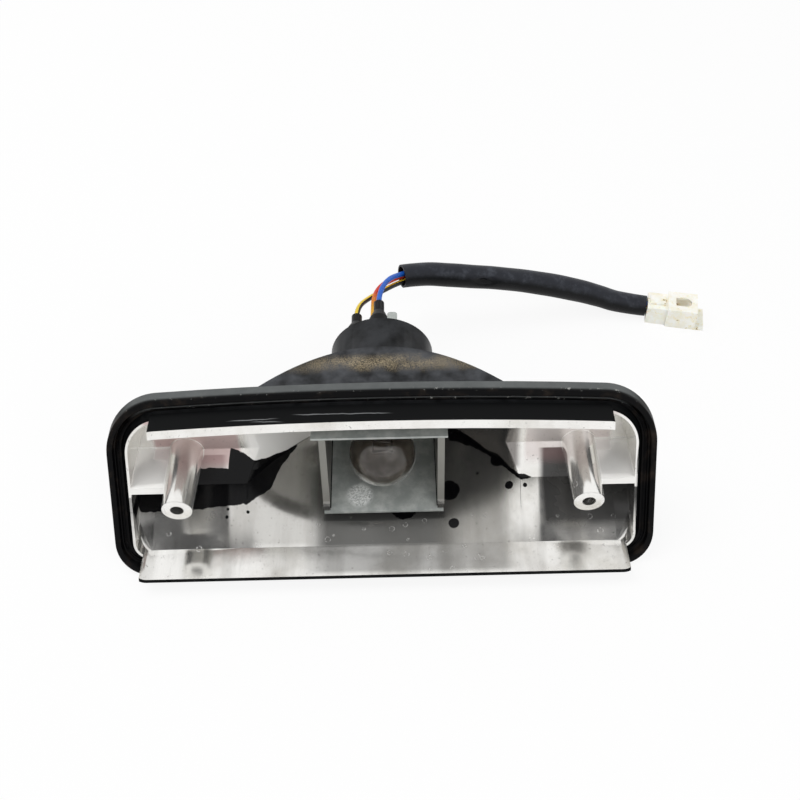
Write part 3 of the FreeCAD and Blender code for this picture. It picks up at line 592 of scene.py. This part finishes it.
def sleeve_vinyl():
    """Soft black PVC sleeving with painted light as a blue-grey upper side, painted shade as a near-black
    lower side, and rubbed marks.
    """
    material, tree, position = new_material("sleeve_vinyl")
    around = add(tree, "SeparateXYZ", (add(tree, "UVMap", uv_map="along"),)).node.outputs[1]
    cloud = add(tree, "TexNoise", {"Vector": position, "Scale": 1 / 5.0, "Detail": 5.0, "Roughness": 0.65})
    fine = add(tree, "TexNoise", {"Vector": position, "Scale": 1 / 0.667, "Detail": 4.0, "Roughness": 0.7})
    # The dust mask here is painted light and shade: blue-grey over the upper side of the turn, near black
    # below
    above = add(tree, "Math", (add(tree, "Math", (around, 2 * math.pi), **TIMES),), operation="SINE")
    dust = add(tree, "MapRange", (
        add(tree, "Math", (cloud, 0.3, above), operation="MULTIPLY_ADD"), 0.4, 0.95,
    ), **SMOOTH)
    colour = add(tree, "Mix", {
        0: add(tree, "MapRange", (cloud, 0.45, 0.75), **SMOOTH), 6: linear("#26282e"), 7: linear("#42454c"),
    }, **COLOURS)
    colour = add(tree, "Mix", {0: dust, 6: linear("#0a0b0d"), 7: colour}, **COLOURS)
    colour = overlaid(tree, colour, (
        (add(tree, "MapRange", (fine, 0.66, 0.74), **SMOOTH), 0.35, "#6a665c"),
    ))
    shader = add(tree, "BsdfPrincipled", {
        "Base Color": colour, "Roughness": add(tree, "Math", (cloud, 0.2, 0.36), operation="MULTIPLY_ADD"),
        "Specular IOR Level": 0.2,
        "Normal": add(tree, "Bump", {"Height": cloud, "Strength": 0.12, "Distance": 0.0005}),
    })
    return finish_material(material, tree, shader)


def aged_nylon(clean):
    """Ivory nylon plug, yellowed, with brown stains in its corners."""
    material, tree, position = new_material("aged_nylon")
    cloud = add(tree, "TexNoise", {"Vector": position, "Scale": 1 / 4.0, "Detail": 5.0, "Roughness": 0.65})
    blots = add(tree, "TexNoise", {"Vector": position, "Scale": 1 / 2.5, "Detail": 6.0, "Roughness": 0.7})
    colour = overlaid(tree, clean, (
        (add(tree, "MapRange", (cloud, 0.35, 0.7), **SMOOTH), 1.0, "#f6f0dc"),
        (add(tree, "MapRange", (blots, 0.53, 0.63), **SMOOTH), 0.5, "#f3e3a4"),
        (add(tree, "MapRange", (blots, 0.62, 0.68), **SMOOTH), 0.9, "#7a5216"),
    ))
    shader = add(tree, "BsdfPrincipled", {
        "Base Color": colour, "Roughness": 0.42, "Subsurface Weight": 0.1,
    })
    return finish_material(material, tree, shader)


def merged_copy(node, name, angle_deg=28.0):
    """Copy of a CAD node with its vertices merged and edges sharp only above an angle."""
    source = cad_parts[node]
    mesh = bpy.data.meshes.new(name)
    work = bmesh.new()
    work.from_mesh(source.data)
    bmesh.ops.remove_doubles(work, verts=work.verts, dist=1e-6)
    work.to_mesh(mesh)
    work.free()
    mesh.polygons.foreach_set("use_smooth", np.ones(len(mesh.polygons), dtype=bool))
    mesh.set_sharp_from_angle(angle=math.radians(angle_deg))
    copy = bpy.data.objects.new(name, mesh)
    bpy.context.scene.collection.objects.link(copy)
    even = copy.modifiers.new("even_shading", "WEIGHTED_NORMAL")
    even.keep_sharp = True
    even.weight = 100
    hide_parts(node)
    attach(copy, "root")
    return copy


def dress(node, name, material, angle_deg=28.0, bevel_mm=0.0):
    """Merged copy of a node in one material, with lightly rounded edges if asked."""
    piece = merged_copy(node, name, angle_deg)
    piece.data.materials.append(material)
    if bevel_mm:
        piece.modifiers.remove(piece.modifiers["even_shading"])
        rounding = piece.modifiers.new("rounded_edges", "BEVEL")
        rounding.width = bevel_mm * MM
        rounding.segments = 2
        rounding.limit_method = "ANGLE"
        rounding.angle_limit = math.radians(40)
        rounding.harden_normals = True
    return piece


def rim_inset(across, up):
    """Signed distance in the rim plane from the opening's outline, negative inside."""
    crown = CROWN_RISE * (across / HALF_WIDTH) ** 2
    radius = np.where(up > OPENING / 2, TOP_RADIUS, LOW_RADIUS)
    top = np.maximum(up - (OPENING - crown), -up)
    side = np.abs(across) - HALF_WIDTH
    corner_x = np.maximum(side + radius, 0.0)
    corner_y = np.maximum(top + radius, 0.0)
    outside = np.hypot(corner_x, corner_y) - radius
    return np.where((side + radius > 0) & (top + radius > 0), outside, np.maximum(side, top))


def coated_faces(mesh):
    """True for faces of the moulding that the mirror coating covers: inside the opening, and rim edges."""
    count = len(mesh.polygons)
    centre = np.empty(count * 3)
    normal = np.empty(count * 3)
    mesh.polygons.foreach_get("center", centre)
    mesh.polygons.foreach_get("normal", normal)
    x, y, z = (centre.reshape(-1, 3) / MM).T
    facing = normal.reshape(-1, 3)
    up = (z - FLOOR_Z) / math.cos(RAKE)
    depth = y - RIM_Y - up * math.sin(RAKE)
    inset = rim_inset(x, up)
    from_axis = np.hypot(x, z - AXIS_Z)
    in_bore = (from_axis < BULB_HOLE + 0.2) & (y - RIM_Y > 44.0)
    inside = (inset < 0.12) & (depth > -11.0) & (y - RIM_Y < BOWL_DEPTH + 0.3)
    inside &= ~in_bore & (facing[:, 1] < 0.15)
    edge = (facing[:, 1] < -0.5) & (depth < 0.1) & (inset < 3.2)
    cut_end = (facing[:, 1] < -0.7) & (y < RIM_Y - 9.0)
    return (inside | edge) & ~cut_end


def grid_piece(name, points, normals, material, keep=None):
    """Mesh object from a (rows, columns, 3) grid in millimetres with its own vertex normals."""
    rows, columns = points.shape[:2]
    row, column = np.meshgrid(np.arange(rows - 1), np.arange(columns - 1), indexing="ij")
    corner = row * columns + column
    quads = np.stack([corner, corner + 1, corner + columns + 1, corner + columns], -1).reshape(-1, 4)
    if keep is not None:
        quads = quads[keep[:-1, :-1].ravel()]
    mesh = bpy.data.meshes.new(name)
    mesh.from_pydata(points.reshape(-1, 3) * MM, [], quads)
    mesh.polygons.foreach_set("use_smooth", np.ones(len(mesh.polygons), dtype=bool))
    unit = normals.reshape(-1, 3) / np.linalg.norm(normals.reshape(-1, 3), axis=1)[:, None]
    mesh.normals_split_custom_set_from_vertices(unit)
    mesh.materials.append(material)
    piece = bpy.data.objects.new(name, mesh)
    bpy.context.scene.collection.objects.link(piece)
    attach(piece, "root")
    return piece


def soft_max(first, second, width):
    """Larger of two fields, with the corner between them rounded over a width."""
    gap = first - second
    return (first + second + np.sqrt(gap * gap + width * width)) / 2


def bowl_wall(x, height, width):
    """Depth of the reflector's back: the deeper of the flared parabolic bowl and the bent pocket wall.

    At share s = (h - 9.5) / 41 the bowl's plan is depth = 57.7 - (32.3 - 8.6 s) (x / (51.7 - 0.55 s))^2.
    """
    s = (height - CREASE_HEIGHT) / (HEADROOM - CREASE_HEIGHT)
    half = CREASE_HALF + (CEILING_HALF - CREASE_HALF) * s
    edge = POCKET_DEPTH + (CEILING_DEPTH - POCKET_DEPTH) * s
    bowl = BOWL_DEPTH - (BOWL_DEPTH - edge) * (x / half) ** 2
    bends = (CREASE_HEIGHT, KINK_HEIGHT, HEADROOM)
    pocket = np.interp(height, bends, (POCKET_DEPTH, KINK_DEPTH, CEILING_DEPTH))
    return np.maximum(bowl, pocket) if width == 0 else soft_max(bowl, pocket, width)


def ramp_end(x):
    """Depth of the crease where the ramped floor meets the back."""
    return np.maximum(BOWL_DEPTH - x * x / (4 * CREASE_FOCAL), POCKET_DEPTH)


def ramp_lining(material):
    """Ramp z(x, d) = 9.5 (d - 2.7) / (D(x) - 2.7) in front of the crease depth D(x)."""
    x, t = np.meshgrid(np.linspace(-86, 86, 431), np.linspace(0, 1, 61), indexing="xy")
    depth = FLOOR_CREASE + (ramp_end(x) - FLOOR_CREASE) * t
    points = np.stack([x, RIM_Y + depth, FLOOR_Z + CREASE_HEIGHT * t + SKIN], -1)
    reach = ramp_end(x) - FLOOR_CREASE
    curve = BOWL_DEPTH - x[0] ** 2 / (4 * CREASE_FOCAL)
    bent = soft_max(curve, np.full_like(curve, POCKET_DEPTH - CORNER_BLEND), 2.0)
    swing = np.gradient(bent, x[0])[None, :]
    along_x = -CREASE_HEIGHT * (0.5 + 0.5 * t) / reach * swing
    normals = np.stack([-along_x, -CREASE_HEIGHT / reach, np.ones_like(x)], -1)
    return grid_piece("ramp_lining", points, normals, material)


def wall_lining(material):
    """Back wall d = W(x, h) from the crease up to the crowned ceiling, open at the bulb hole."""
    x, t = np.meshgrid(np.linspace(-86, 86, 431), np.linspace(0, 1, 91), indexing="xy")
    ceiling = (OPENING - CROWN_RISE * (x / HALF_WIDTH) ** 2) * math.cos(RAKE)
    height = CREASE_HEIGHT + (ceiling - CREASE_HEIGHT) * t
    depth = bowl_wall(x, height, 0) - SKIN
    points = np.stack([x, RIM_Y + depth, FLOOR_Z + height], -1)
    step = 0.2
    across = bowl_wall(x + step, height, EDGE_BLEND) - bowl_wall(x - step, height, EDGE_BLEND)
    upward = bowl_wall(x, height + step, EDGE_BLEND) - bowl_wall(x, height - step, EDGE_BLEND)
    normals = np.stack([across, np.full_like(x, -2 * step), upward], -1)
    clear = np.hypot(points[..., 0], points[..., 2] - AXIS_Z) > BULB_HOLE + 0.8
    return grid_piece("wall_lining", points, normals, material, clear)


def boss_lining(side, material):
    """Tapered boss r(d) = 5.4 + 0.8 (d - 5.3) / 28.9 round its axis, and its flat ring end."""
    turn, share = np.meshgrid(np.linspace(0, 2 * math.pi, 97), np.linspace(0, 1, 25), indexing="xy")
    radius = BOSS_TIP + (BOSS_ROOT - BOSS_TIP) * share + SKIN
    length = KINK_DEPTH + 1.0 - BOSS_FRONT
    around = np.stack([np.cos(turn), np.zeros_like(turn), np.sin(turn)], -1)
    axis = np.stack([np.full_like(turn, side * BOSS_X), RIM_Y + BOSS_FRONT + length * share,
                     np.full_like(turn, FLOOR_Z + BOSS_HEIGHT)], -1)
    slope = np.array([0.0, -(BOSS_ROOT - BOSS_TIP) / length, 0.0])
    name = "boss_left" if side < 0 else "boss_right"
    side_face = axis + around * radius[..., None]
    grid_piece(name + "_side", side_face[::-1], (around + slope)[::-1], material)
    ring = SCREW_HOLE + (BOSS_TIP - SCREW_HOLE) * share
    face = axis * (1, 0, 1) + (0, RIM_Y + BOSS_FRONT - SKIN, 0) + around * ring[..., None]
    grid_piece(name + "_ring", face[::-1], np.broadcast_to((0.0, -1.0, 0.0), face.shape), material)


def spline(points, resolution):
    """Points in metres read from the quadratic NURBS curve whose control points are a route's points."""
    curve = bpy.data.curves.new("route", "CURVE")
    curve.dimensions = "3D"
    line = curve.splines.new("NURBS")
    line.points.add(len(points) - 1)
    poles = np.ones((len(points), 4))
    poles[:, :3] = np.array(points) * MM
    line.points.foreach_set("co", poles.ravel())
    line.order_u = 3
    line.use_endpoint_u = True
    line.resolution_u = resolution
    holder = bpy.data.objects.new("route", curve)
    mesh = bpy.data.meshes.new_from_object(holder)
    path = np.empty(len(mesh.vertices) * 3)
    mesh.vertices.foreach_get("co", path)
    bpy.data.meshes.remove(mesh)
    bpy.data.objects.remove(holder)
    bpy.data.curves.remove(curve)
    return path.reshape(-1, 3)


def tube_mesh(name, path, radius, ring, wall=0.0):
    """Tube P(s, a) = C(s) + R(s, a) (cos(a) S(s) + sin(a) U(s)), S sideways and U upwards of the path.

    Without a wall its ends are flat discs. With one, the inner tube R - wall runs back inside and joins
    both ends. The UV map along holds the share of the length and of the turn.
    """
    heading = np.gradient(path, axis=0)
    heading /= np.linalg.norm(heading, axis=1)[:, None]
    side = np.cross(heading, (0.0, 0.0, 1.0))
    side /= np.linalg.norm(side, axis=1)[:, None]
    lift = np.cross(side, heading)
    turn = np.linspace(0, 2 * math.pi, ring, endpoint=False)[:, None]
    spoke = np.cos(turn) * side[:, None, :] + np.sin(turn) * lift[:, None, :]
    reach = np.broadcast_to(radius, spoke.shape[:2])[..., None]
    points = path[:, None, :] + reach * spoke
    share = np.concatenate([[0], np.cumsum(np.linalg.norm(np.diff(path, axis=0), axis=1))])
    share /= share[-1]
    if wall:
        points = np.concatenate([points, (path[:, None, :] + (reach - wall) * spoke)[::-1]])
        share = np.concatenate([share, share[::-1]])
    rows = len(points)
    row, column = np.meshgrid(np.arange(rows if wall else rows - 1), np.arange(ring), indexing="ij")
    ahead, after = (row + 1) % rows, (column + 1) % ring
    here, beyond = row * ring, ahead * ring
    quads = np.stack([here + column, beyond + column, beyond + after, here + after], -1)
    faces = quads.reshape(-1, 4).tolist()
    u = np.stack([share[row], share[ahead], share[ahead], share[row]], -1)
    v = np.stack([column, column, column + 1, column + 1], -1) / ring
    places = [np.stack([u, v], -1).reshape(-1, 2)]
    if not wall:
        disc = np.arange(ring)
        faces += [disc.tolist(), (disc[::-1] + (rows - 1) * ring).tolist()]
        places.append(np.stack([np.zeros(ring), disc / ring], -1))
        places.append(np.stack([np.ones(ring), disc[::-1] / ring], -1))
    mesh = bpy.data.meshes.new(name)
    mesh.from_pydata(points.reshape(-1, 3), [], faces)
    layer = mesh.uv_layers.new(name="along")
    layer.uv.foreach_set("vector", np.concatenate(places).astype(np.float32).ravel())
    mesh.polygons.foreach_set("use_smooth", np.ones(len(mesh.polygons), dtype=bool))
    mesh.set_sharp_from_angle(angle=math.radians(50))
    piece = bpy.data.objects.new(name, mesh)
    bpy.context.scene.collection.objects.link(piece)
    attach(piece, "root")
    return piece


def beside_connector(ahead, across, height):
    """Point ahead of the connector's wire face, across its width and above the ground."""
    x = CONNECTOR_PLACE[0] + ahead * math.cos(CONNECTOR_TURN) + across * math.sin(CONNECTOR_TURN)
    y = CONNECTOR_PLACE[1] - ahead * math.sin(CONNECTOR_TURN) + across * math.cos(CONNECTOR_TURN)
    return (x, y, height)


def wire_route(facts):
    """The CAD wire's route points: boot end, straight lead, then the sleeve's line moved sideways."""
    across, up = facts["shift"]
    start = (facts["place"][0], RIM_Y + TERMINAL_DEPTH + facts["boot"], AXIS_Z + facts["place"][1])
    lead_in = (start[0], start[1] + 6.0, start[2])
    inside = [(x, y + across, z + up) for x, y, z in SLEEVE_ROUTE]
    last = [beside_connector(ahead, across, CORD_HEIGHT + up) for ahead in (-WIRE_STRAIGHT, 0)]
    return [start, lead_in, facts["lead"]] + inside + last


class LampSettings(bpy.types.PropertyGroup):
    sleeve_radius: bpy.props.FloatProperty(
        name="Sleeve radius", description="Half of the sleeve's width",
        default=0.0053, subtype="DISTANCE", unit="LENGTH")
    sleeve_wall: bpy.props.FloatProperty(
        name="Sleeve wall", description="Thickness of the sleeve's wall",
        default=0.0008, subtype="DISTANCE", unit="LENGTH")
    dent_depth: bpy.props.FloatProperty(
        name="Dent depth", description="How far the sleeve is pinched in",
        default=0.0022, subtype="DISTANCE", unit="LENGTH")
    wire_radius: bpy.props.FloatProperty(
        name="Wire radius", description="Half of a wire's thickness",
        default=0.0011, subtype="DISTANCE", unit="LENGTH")
    floor_size: bpy.props.FloatProperty(
        name="Floor size", description="Edge of the square floor",
        default=6.0, subtype="DISTANCE", unit="LENGTH")
    coating_colour: bpy.props.FloatVectorProperty(
        name="Coating colour", description="Clean colour of the mirror coating",
        subtype="COLOR", size=4, min=0, max=1, default=linear("#f3f2ef"))
    plug_colour: bpy.props.FloatVectorProperty(
        name="Plug colour", description="Unstained colour of the plug",
        subtype="COLOR", size=4, min=0, max=1, default=linear("#fffdf6"))
    blue_wire: bpy.props.FloatVectorProperty(
        name="Blue wire", description="Colour of the plain wire",
        subtype="COLOR", size=4, min=0, max=1, default=linear("#1f5fc4"))


class LAMP_OT_housing(bpy.types.Operator):
    """Black moulding with its mirror-coated inside"""

    bl_idname = "lamp.housing"
    bl_label = "Lamp Housing"

    def execute(self, context):
        piece = merged_copy("lamp_housing", "housing_moulding", 18.0)
        coating = mirror_coating(tuple(context.scene.lamp_settings.coating_colour))
        piece.data.materials.append(black_moulding())
        piece.data.materials.append(coating)
        piece.data.polygons.foreach_set("material_index", coated_faces(piece.data).astype(np.int32))
        ramp_lining(coating)
        wall_lining(coating)
        boss_lining(-1, coating)
        boss_lining(1, coating)
        dress("rubber_gasket", "gasket_ring", weathered_rubber(), 30.0, 0.5)
        return {"FINISHED"}


class LAMP_OT_bulb(bpy.types.Operator):
    """Heat shield, bulb and bulb socket"""

    bl_idname = "lamp.bulb"
    bl_label = "Bulb and Shield"

    def execute(self, context):
        steel = zinc_plate()
        brass = plain("nickelled_brass", linear("#b4a684"), 0.35, 0.9)
        dark = plain("terminal_plastic", linear("#2a2a2a"), 0.55)
        rubber = plain("grommet_rubber", linear("#1b1b1c"), 0.6)
        glass = clear_glass()
        tungsten = plain("tungsten_wire", linear("#6a6a6c"), 0.35, 0.9)
        dress("heat_shield", "folded_shield", steel, 28.0, 0.2)
        dress("bulb_glass", "bulb_envelope", glass, 40.0)
        dress("bulb_stem", "bulb_foot", glass, 40.0)
        for node, material, slot in (
                ("bulb_cap", brass, "nickel_brass"), ("bulb_pins", brass, "nickel_brass"),
                ("bulb_contacts", brass, "nickel_brass"), ("bulb_filaments", tungsten, "tungsten"),
                ("socket_shell", steel, "zinc_plated_steel"), ("socket_grommet", rubber, "gasket_rubber"),
                ("contact_carrier", dark, "terminal_plastic"), ("contact_studs", brass, "nickel_brass"),
                ("terminal_plate", dark, "terminal_plastic"),
                ("terminal_blades", brass, "nickel_brass"), ("ground_tab", steel, "zinc_plated_steel")):
            dress(node, node + "_look", material)
        return {"FINISHED"}


class LAMP_OT_wiring(bpy.types.Operator):
    """Boots, wires, sleeve and plug"""

    bl_idname = "lamp.wiring"
    bl_label = "Wiring Tail"

    def execute(self, context):
        settings = context.scene.lamp_settings
        boots = plain("boot_vinyl", linear("#0c0c0d"), 0.4, 0.0, 0.15)
        for node in ("boot_ribbed", "boot_smooth", "boot_lower"):
            dress(node, node + "_look", boots, 35.0)
        nylon = aged_nylon(tuple(settings.plug_colour))
        plug = dress("connector_housing", "plug_body", nylon, 30.0, 0.4)
        gilt = plain("pin_brass", linear("#b49a5c"), 0.35, 0.9)
        pins = dress("connector_pins", "plug_pins", gilt)
        sleeve = self.sleeve(settings)
        colours = {
            "wire_blue": plain("wire_blue_pvc", tuple(settings.blue_wire), 0.38),
            "wire_red": shaded_wire(),
            "wire_black": striped_wire("wire_black_pvc", "#161616", "#e6c62e"),
        }
        for name, facts in WIRES.items():
            path = spline(wire_route(facts), 24)
            piece = tube_mesh(name + "_insulation", path, settings.wire_radius, 16)
            piece.data.materials.append(colours[name])
            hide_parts(name)
        return {"FINISHED"}

    def sleeve(self, settings):
        """Sleeve R(s, a) with a dent exp(-((s - s0) / w)^2), long soft waves and a narrower far end."""
        last = [beside_connector(-WIRE_STRAIGHT, 0, CORD_HEIGHT), beside_connector(-0.6, 0, CORD_HEIGHT)]
        path = spline(SLEEVE_ROUTE + last, 48)
        s = np.linspace(0, 1, len(path))[:, None]
        turn = np.linspace(0, 2 * math.pi, 48, endpoint=False)[None, :]
        pinch = np.exp(-((s - 0.33) / 0.03) ** 2) * np.exp(-((np.sin((turn - 0.35) / 2)) / 0.16) ** 2)
        waves = 0.00008 * np.sin(5 * s * math.pi + 2 * turn)
        waves = waves + 0.00003 * np.sin(17 * s * math.pi + 3 * turn + 1)
        shape = settings.sleeve_radius - 0.00008 + waves - settings.dent_depth * pinch
        narrow = 1.0 - 0.12 * np.clip((s - 0.55) / 0.45, 0, 1) ** 2
        piece = tube_mesh("sleeve_tube", path, shape * narrow, 48, settings.sleeve_wall)
        piece.data.materials.append(sleeve_vinyl())
        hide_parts("harness_sleeve")
        return piece


class LAMP_OT_stage(bpy.types.Operator):
    """White floor, soft light and the camera"""

    bl_idname = "lamp.stage"
    bl_label = "Stage"

    def execute(self, context):
        scene = context.scene
        scene.view_settings.view_transform = "Standard"
        self.floor(scene)
        self.world(scene)
        for name, place, power in (
                ("key_light", (-0.5, 0.25, 1.1), 7.0), ("fill_light", (0.55, -0.8, 0.8), 5.0)):
            lamp = bpy.data.lights.new(name, "AREA")
            lamp.size = 0.9
            lamp.energy = power
            holder = bpy.data.objects.new(name, lamp)
            holder.matrix_world = (Matrix.Translation(place)
                                   @ (-Vector(place)).to_track_quat("-Z", "Y").to_matrix().to_4x4())
            holder.visible_glossy = False
            scene.collection.objects.link(holder)
        self.camera(scene)
        return {"FINISHED"}

    def floor(self, scene):
        """Square z = 0 plane."""
        half = scene.lamp_settings.floor_size / 2
        mesh = bpy.data.meshes.new("floor")
        corners = [(-half, -half, 0), (half, -half, 0), (half, half, 0), (-half, half, 0)]
        mesh.from_pydata(corners, [], [(0, 1, 2, 3)])
        ground = bpy.data.objects.new("floor", mesh)
        scene.collection.objects.link(ground)
        material, tree, _ = new_material("white_table")
        _, seen = seen_share(tree)
        matt = add(tree, "BsdfDiffuse", {"Color": linear("#f4f4f4")})
        glow = add(tree, "Emission", {"Strength": 1.0})
        surface = add(tree, "MixShader", {0: add(tree, "Math", (seen, 0.88), **TIMES), 1: matt, 2: glow})
        mesh.materials.append(finish_material(material, tree, surface))

    def world(self, scene):
        """White surroundings with a soft darker zone overhead, on the side the picture is taken from."""
        world = bpy.data.worlds.new("studio")
        scene.world = world
        world.use_nodes = True
        tree = world.node_tree
        tree.nodes.clear()
        direction = add(tree, "TexCoord", out="Generated")
        x, y, z = add(tree, "SeparateXYZ", (direction,)).node.outputs
        off = distance(tree, add(tree, "Math", (x, 0.35), **TIMES), y, 0.0, -0.2)
        shade = add(tree, "Math", (
            add(tree, "MapRange", (off, 0.07, 0.18, 1.0, 0.0), **SMOOTH),
            add(tree, "MapRange", (z, 0.0, 0.3), **SMOOTH),
        ), **TIMES)
        ray, seen = seen_share(tree)
        mirrored = add(tree, "Mix", {0: shade, 6: linear("#ffffff"), 7: linear("#1c1c1e")}, **COLOURS)
        colour = add(tree, "Mix", {0: ray["Is Camera Ray"], 6: mirrored, 7: linear("#ffffff")}, **COLOURS)
        strength = add(tree, "Mix", {0: seen, 2: 0.55, 3: 1.0}, data_type="FLOAT")
        background = add(tree, "Background", {"Color": colour, "Strength": strength})
        add(tree, "OutputWorld", {"Surface": background})

    def camera(self, scene):
        """Camera at the photograph's place, aimed down and a little rolled."""
        pitch, roll = math.radians(PITCH), math.radians(ROLL)
        ahead = Vector((0.0, math.cos(pitch), -math.sin(pitch)))
        level = Vector((1.0, 0.0, 0.0))
        lift = level.cross(ahead)
        right = level * math.cos(roll) + lift * math.sin(roll)
        up = lift * math.cos(roll) - level * math.sin(roll)
        lens = bpy.data.cameras.new("photo_camera")
        lens.sensor_width = 36.0
        lens.lens = LENS
        lens.clip_start = 0.01
        holder = bpy.data.objects.new("photo_camera", lens)
        turn = Matrix((right, up, -ahead)).transposed().to_4x4()
        across, before, above = CAMERA_PLACE
        place = Vector((across, RIM_Y - before, FLOOR_Z + above)) * MM
        holder.matrix_world = Matrix.Translation(place) @ turn
        scene.collection.objects.link(holder)
        scene.camera = holder


class LAMP_PT_sidebar(bpy.types.Panel):
    """Buttons and sizes for the lamp's looks"""

    bl_idname = "LAMP_PT_sidebar"
    bl_label = "Tail Lamp"
    bl_space_type = "VIEW_3D"
    bl_region_type = "UI"
    bl_category = "Lamp"

    def draw(self, context):
        for name in LampSettings.__annotations__:
            self.layout.prop(context.scene.lamp_settings, name)
        for operator in OPERATORS:
            self.layout.operator(operator.bl_idname)


OPERATORS = (LAMP_OT_housing, LAMP_OT_bulb, LAMP_OT_wiring, LAMP_OT_stage)
CLASSES = (LampSettings, *OPERATORS, LAMP_PT_sidebar)


def register():
    for item in CLASSES:
        bpy.utils.register_class(item)
    bpy.types.Scene.lamp_settings = bpy.props.PointerProperty(type=LampSettings)


def unregister():
    del bpy.types.Scene.lamp_settings
    for item in reversed(CLASSES):
        bpy.utils.unregister_class(item)


def main():
    register()
    bpy.ops.lamp.housing()
    bpy.ops.lamp.bulb()
    bpy.ops.lamp.wiring()
    bpy.ops.lamp.stage()


if __name__ == "__main__":
    main()
